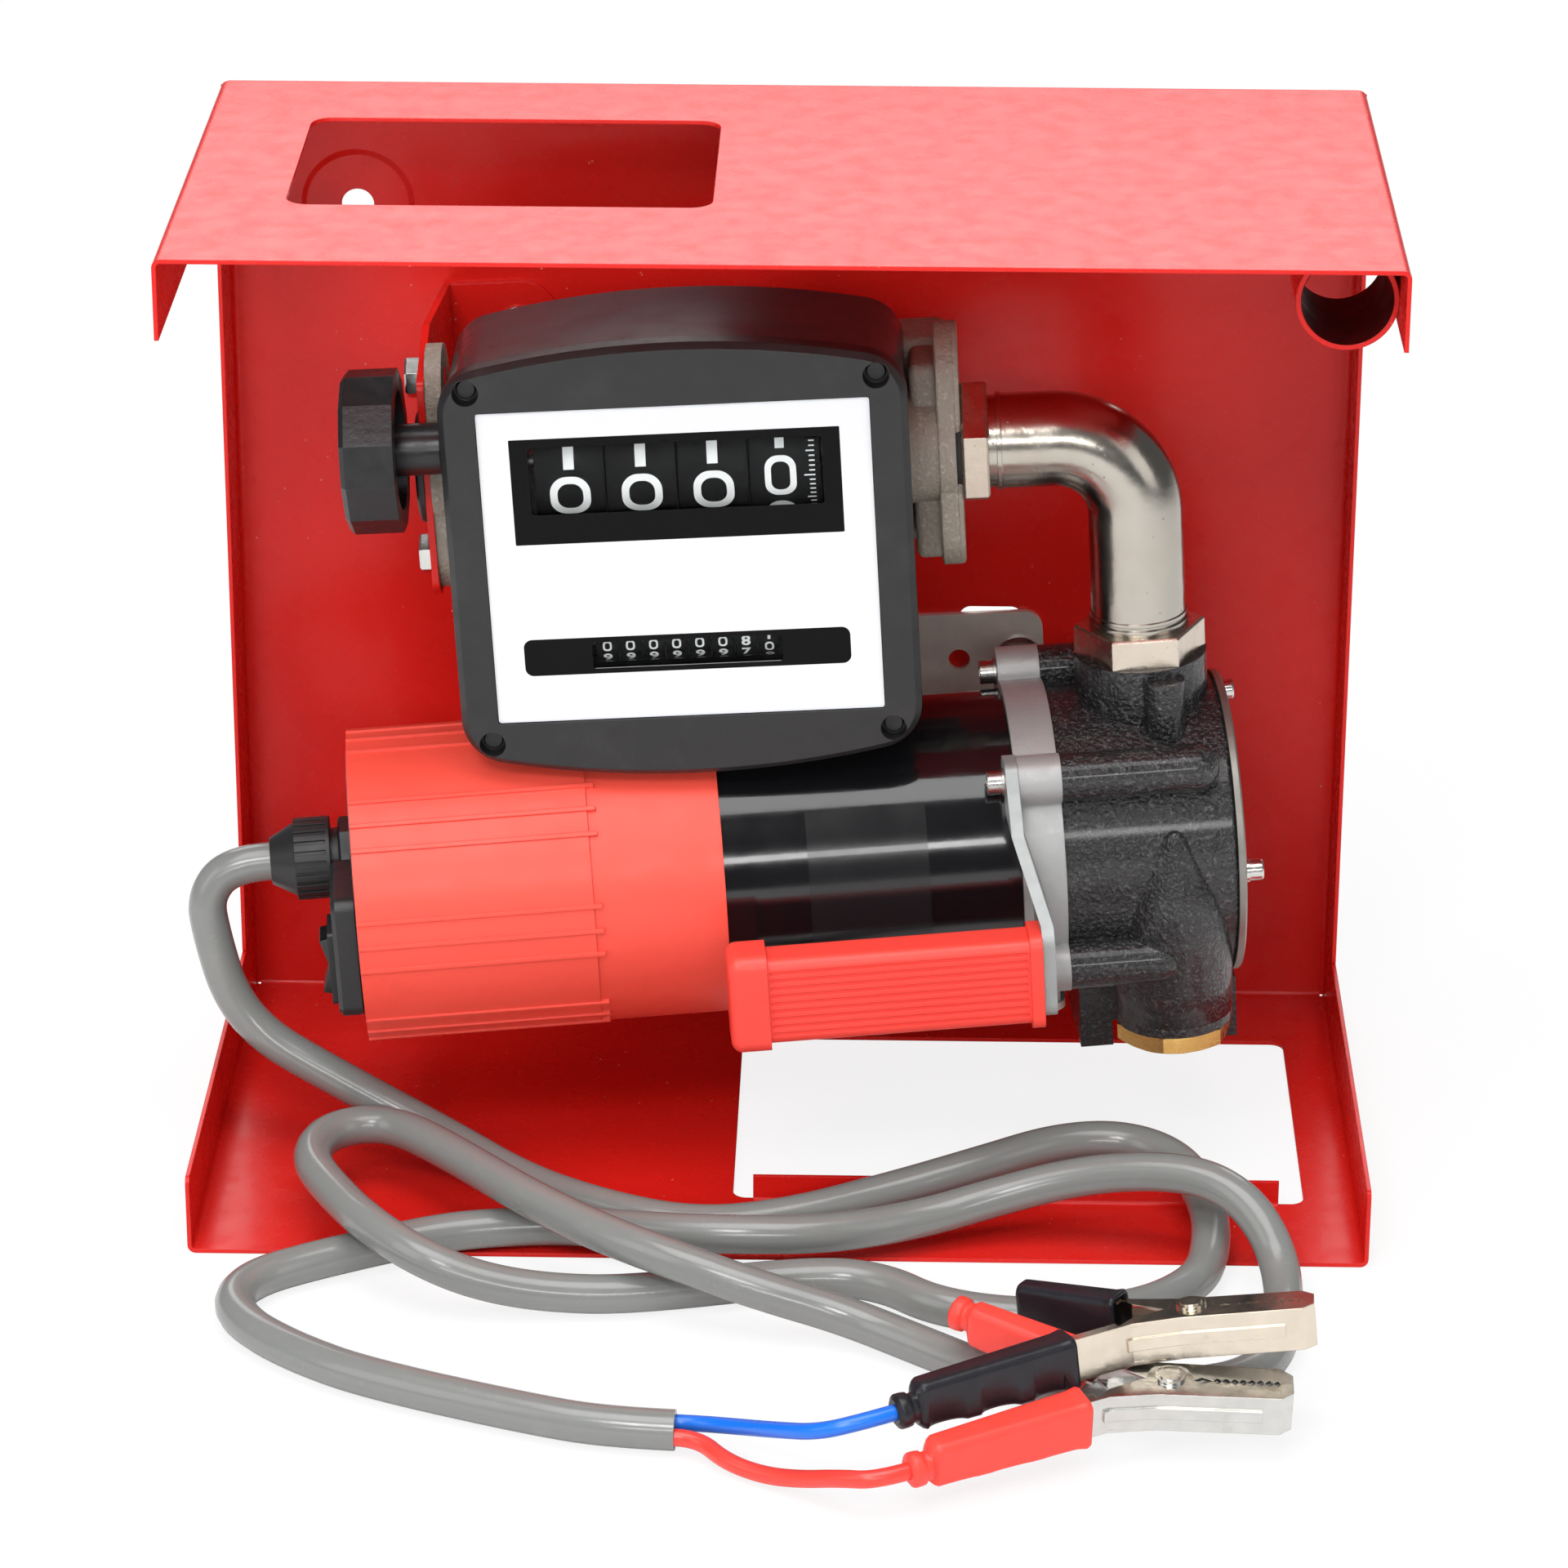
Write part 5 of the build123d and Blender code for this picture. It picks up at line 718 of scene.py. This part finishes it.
mesh_object("small_wheel_trough", wheel_trough(), METER, WHEEL_BLACK, "cabinet")
print_field("print_field_upper", WHEEL_UP, (0.115, 0.039, 0.0004), 0.03208, (0.1022, 0.0248, 0.0010))
print_field("print_field_lower", TOTAL_UP, (0.115, 0.0137, 0.0030), TOTAL_UP, (0.0668, 0.0098, 0.0010))


def bezel_screws():
    """Four round screw heads in the bezel's corners, which face the reader."""
    bm = bmesh.new()
    r, front, height = 0.0038, -0.0500, 0.002
    for x in (-0.0711, 0.0711):
        for z in (-0.0657, 0.0657):
            foot = loop_of(bm, ((x + r * c, front + height, z + r * d) for c, d in circle(24)))
            top = loop_of(bm, ((x + 0.82 * r * c, front, z + 0.82 * r * d) for c, d in circle(24)))
            skin(bm, [foot, top])
            bm.faces.new(top[::-1])
    bmesh.ops.recalc_face_normals(bm, faces=bm.faces[:])
    return bm


mesh_object("bezel_screws", bezel_screws(), METER, BLACK, "cabinet")


# Forms of the cabinet, in metres

CAB_HALF = 0.210
WALL_BACK = 0.11325
BEND_OUTER = 0.0030
SHEET = 0.0015
CORNER_SPANS = ((0.0016, 0.0300), (0.3380, 0.3654))


def corner_bends():
    """The wall's side bends, carried on into the corners of tray and roof."""
    bm = bmesh.new()
    steps = 8
    quarter = [k / steps * math.pi / 2 for k in range(steps + 1)]
    for side in (-1, 1):
        for low, high in CORNER_SPANS:
            arcs = []
            for r in (BEND_OUTER, BEND_OUTER - SHEET):
                for z in (low, high):
                    arcs.append(loop_of(bm, ((side * (CAB_HALF - BEND_OUTER + r * math.sin(a)),
                                              WALL_BACK - BEND_OUTER + r * math.cos(a), z) for a in quarter)))
            outer_low, outer_high, inner_low, inner_high = arcs
            for pair in ((outer_low, outer_high), (inner_low, inner_high), (outer_low, inner_low),
                         (outer_high, inner_high)):
                skin(bm, pair, closed=False)
    bmesh.ops.recalc_face_normals(bm, faces=bm.faces[:])
    return bm


mesh_object("corner_bends", corner_bends(), OBJECT, RED_SHEET, "cabinet")


# Forms of meter and pump, in millimetres in the tilted assembly's and the pump's frame

FLOW_UP = 151.5
NUT_ACROSS = 41.0
NUT_LEFT, NUT_RIGHT = -56.4, -46.8
DRUM_R = 47
STICKER_R = 54.12
STICKER_ENDS = (-122, -79)
STICKER_FROM, STICKER_SPAN = -25, 63


def cast_block(x0, x1, y0, y1, low, high, r):
    """A cast block with rounded edges, whose height is measured from the flow line."""
    bm = bmesh.new()
    bmesh.ops.create_cube(bm, size=1.0)
    middle = Vector(((x0 + x1) / 2, (y0 + y1) / 2, FLOW_UP + (low + high) / 2))
    for v in bm.verts:
        v.co = middle + Vector((v.co.x * (x1 - x0), v.co.y * (y1 - y0), v.co.z * (high - low)))
    bmesh.ops.bevel(bm, geom=bm.edges[:], offset=r, segments=4, affect="EDGES", profile=0.5)
    return smooth_all(in_metres(bm))


mesh_object("meter_port_block", cast_block(-74, -58, -11, 14, -40, 33, 3.0), TILTED, CAST_METER, "cabinet")
mesh_object("meter_rear_block", cast_block(-100, -60, 13, 40, -42, 35, 4.0), TILTED, CAST_METER, "cabinet")


def oval_plate(x0, x1, height, width, swell, r):
    """The port's flange: an upright oval with a round middle, softened at its edges."""
    bm = bmesh.new()
    outline = []
    for c, d in circle(72):
        upright = math.copysign((height - width) / 2, d) if d else 0.0
        y, z = width / 2 * c, upright + width / 2 * d
        grow = max(1.0, swell / math.hypot(y, z))
        outline.append((y * grow, z * grow))
    loops = []
    softened = ((x0, r), (x0 + 0.3 * r, 0.3 * r), (x0 + r, 0), (x1 - r, 0), (x1 - 0.3 * r, 0.3 * r), (x1, r))
    for x, inset in softened:
        points = []
        for y, z in outline:
            share = 1 - inset / math.hypot(y, z)
            points.append((x, y * share, FLOW_UP + z * share))
        loops.append(loop_of(bm, points))
    solid_skin(bm, loops)
    return smooth_sides(in_metres(bm))


mesh_object("meter_port_flange", oval_plate(-64.9, NUT_LEFT, 90.0, 34.0, 21.0, 1.4), TILTED, CAST_METER,
            "cabinet")


def hex_nut(x0, x1, across, turned):
    """A six-sided nut about the flow line, with chamfered corners."""
    bm = bmesh.new()
    loops = []
    for x, share in ((x0, 0.955), (x0 + 0.9, 1.0), (x1 - 0.9, 1.0), (x1, 0.955)):
        r = across / math.sqrt(3) * share
        corners = [math.radians(60 * k + 30 + turned) for k in range(6)]
        loops.append(loop_of(bm, ((x, r * math.cos(a), FLOW_UP + r * math.sin(a)) for a in corners)))
    solid_skin(bm, loops)
    return in_metres(bm)


nut = mesh_object("meter_nut_turned", hex_nut(NUT_LEFT, NUT_RIGHT, NUT_ACROSS, 8.0), TILTED, NUT_NICKEL,
                  "cabinet")
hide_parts("meter_nut")

# Height, place in depth and radius of the swelling's rings, from the inlet's tube upwards
INLET_RINGS = ((-58, -33, 21.25), (-45, -33.6, 21.5), (-34, -35.8, 21.8), (-24, -38.4, 21.4),
               (-15, -40.4, 20.2), (-8, -41.8, 18.4), (-2, -42.8, 16.2), (4, -43.8, 13.4), (9, -45.2, 10.4),
               (13, -47.2, 7.3), (16.5, -49.6, 4.3), (19, -52, 1.4))
INLET_X = 9.0


def inlet_hood():
    """The casting's swelling over the inlet, from its tube up to a point, outside the pump's drum."""
    bm = bmesh.new()
    loops = []
    for z, y, r in INLET_RINGS:
        drum_front = -math.sqrt(max(DRUM_R ** 2 - z * z, 0))
        loops.append(loop_of(bm, ((INLET_X + r * c, min(y + r * d, drum_front), z) for c, d in circle(48))))
    solid_skin(bm, loops)
    return smooth_all(in_metres(bm))


mesh_object("inlet_hood", inlet_hood(), PUMP, CAST_BLACK, "cabinet")


def bare_sticker():
    """A clear sticker on the motor can, with nothing printed on it."""
    bm = bmesh.new()
    r = STICKER_R
    steps = 24
    rows = []
    for k in range(steps + 1):
        a = math.radians(STICKER_FROM + STICKER_SPAN * k / steps)
        rows.append(loop_of(bm, ((x, -r * math.cos(a), r * math.sin(a)) for x in STICKER_ENDS)))
    skin(bm, rows, closed=False)
    return smooth_all(in_metres(bm))


mesh_object("bare_sticker", bare_sticker(), PUMP, STICKER, "cabinet")

# Nozzle holder, in metres: its axis, the radius of the painted shade inside it, and the ends of that shade
HOLDER_X, HOLDER_UP = 0.191, 0.348
HOLDER_R = 0.01564
HOLDER_FRONT, HOLDER_BACK = -0.0770, -0.0272


def holder_shade_sheet():
    """A thin, dull dark sheet inside the nozzle holder, open at both ends: painted shade in its tube."""
    bm = bmesh.new()
    skin(bm, [loop_of(bm, ((HOLDER_X + HOLDER_R * c, y, HOLDER_UP + HOLDER_R * d) for c, d in circle(64)))
              for y in (HOLDER_BACK, HOLDER_FRONT)])
    return smooth_all(bm)


# The painted shade inside the nozzle holder's tube
mesh_object("holder_inner_painted_shade", holder_shade_sheet(), OBJECT, HOLDER_SHADE, "cabinet")


# Floor, lamps and world

PAPER_FADE = (0.25, 1.1)
PAPER_NEAR = 0.84
STUDIO_LIGHT = 0.36
STUDIO_MIRRORED = 0.14


def white_for(tree):
    """1 for camera and transmission rays, 0 for the others, which see paper and studio as they are lit."""
    path = tree.nodes.new("ShaderNodeLightPath")
    either = tree.nodes.new("ShaderNodeMath")
    either.operation = "MAXIMUM"
    tree.links.new(path.outputs["Is Camera Ray"], either.inputs[0])
    tree.links.new(path.outputs["Is Transmission Ray"], either.inputs[1])
    return either.outputs["Value"]


def mixed(tree, share, a, b):
    """A blend of two shaders."""
    mix = tree.nodes.new("ShaderNodeMixShader")
    tree.links.new(share, mix.inputs["Fac"])
    tree.links.new(a, mix.inputs[1])
    tree.links.new(b, mix.inputs[2])
    return mix.outputs["Shader"]


def floor_paper():
    """White paper: it takes the object's shadow near it and is plain white further out."""
    f = Finish("floor_paper", (0.88, 0.88, 0.88), rough=0.9, specular=0.1)
    away = f.node("ShaderNodeVectorMath", operation="LENGTH")
    f.link(f.place, away.inputs[0])
    ramp = f.node("ShaderNodeMapRange", interpolation_type="SMOOTHSTEP", From_Min=PAPER_FADE[0],
                  From_Max=PAPER_FADE[1], To_Min=PAPER_NEAR, To_Max=1.0)
    f.link(away.outputs["Value"], ramp.inputs["Value"])
    white = f.node("ShaderNodeEmission", Strength=1.0)
    share = f.times(ramp.outputs["Result"], white_for(f.tree))
    f.link(mixed(f.tree, share, f.shader.outputs["BSDF"], white.outputs["Emission"]),
           f.tree.nodes["Material Output"].inputs["Surface"])
    return f.m


bpy.ops.mesh.primitive_plane_add(size=14, location=(0, 0, -0.0004))
floor = bpy.context.object
floor.name = "floor"
floor.data.materials.append(floor_paper())


def lamp(name, place, target, size, watts):
    data = bpy.data.lights.new(name, "AREA")
    data.shape = "RECTANGLE"
    data.size, data.size_y = size
    data.energy = watts
    obj = bpy.data.objects.new(name, data)
    obj.location = place
    obj.rotation_euler = (Vector(target) - Vector(place)).to_track_quat("-Z", "Y").to_euler()
    bpy.context.collection.objects.link(obj)


CENTRE = (0, -0.05, 0.15)
lamp("lamp_top", (-0.1, -0.5, 1.9), CENTRE, (1.6, 1.2), 28)
lamp("lamp_high", (-0.5, -1.9, 1.9), CENTRE, (0.7, 0.5), 19)
lamp("lamp_left", (-1.5, -1.1, 1.0), CENTRE, (0.9, 1.2), 6)
lamp("lamp_right", (1.6, -1.0, 0.9), CENTRE, (0.9, 1.2), 4)
lamp("lamp_front", (0.0, -2.3, 0.98), CENTRE, (1.5, 0.20), 13)
lamp("lamp_back", (0.0, 1.7, 1.25), (0, 0, 0.36), (2.2, 0.9), 16)


def studio():
    """A plain white surround that lights the object softly and shows only dimly in what is glossy."""
    world = bpy.data.worlds.new("studio")
    world.use_nodes = True
    tree = world.node_tree
    lit = tree.nodes["Background"]
    lit.inputs["Color"].default_value = (0.95, 0.97, 1.0, 1)
    mirror = tree.nodes.new("ShaderNodeLightPath")
    dim = tree.nodes.new("ShaderNodeMapRange")
    dim.inputs["To Min"].default_value = STUDIO_LIGHT
    dim.inputs["To Max"].default_value = STUDIO_MIRRORED
    tree.links.new(mirror.outputs["Is Glossy Ray"], dim.inputs["Value"])
    tree.links.new(dim.outputs["Result"], lit.inputs["Strength"])
    white = tree.nodes.new("ShaderNodeBackground")
    white.inputs["Color"].default_value = (1, 1, 1, 1)
    tree.links.new(mixed(tree, white_for(tree), lit.outputs["Background"], white.outputs["Background"]),
                   tree.nodes["World Output"].inputs["Surface"])
    return world


bpy.context.scene.world = studio()
bpy.context.scene.view_settings.view_transform = "Standard"
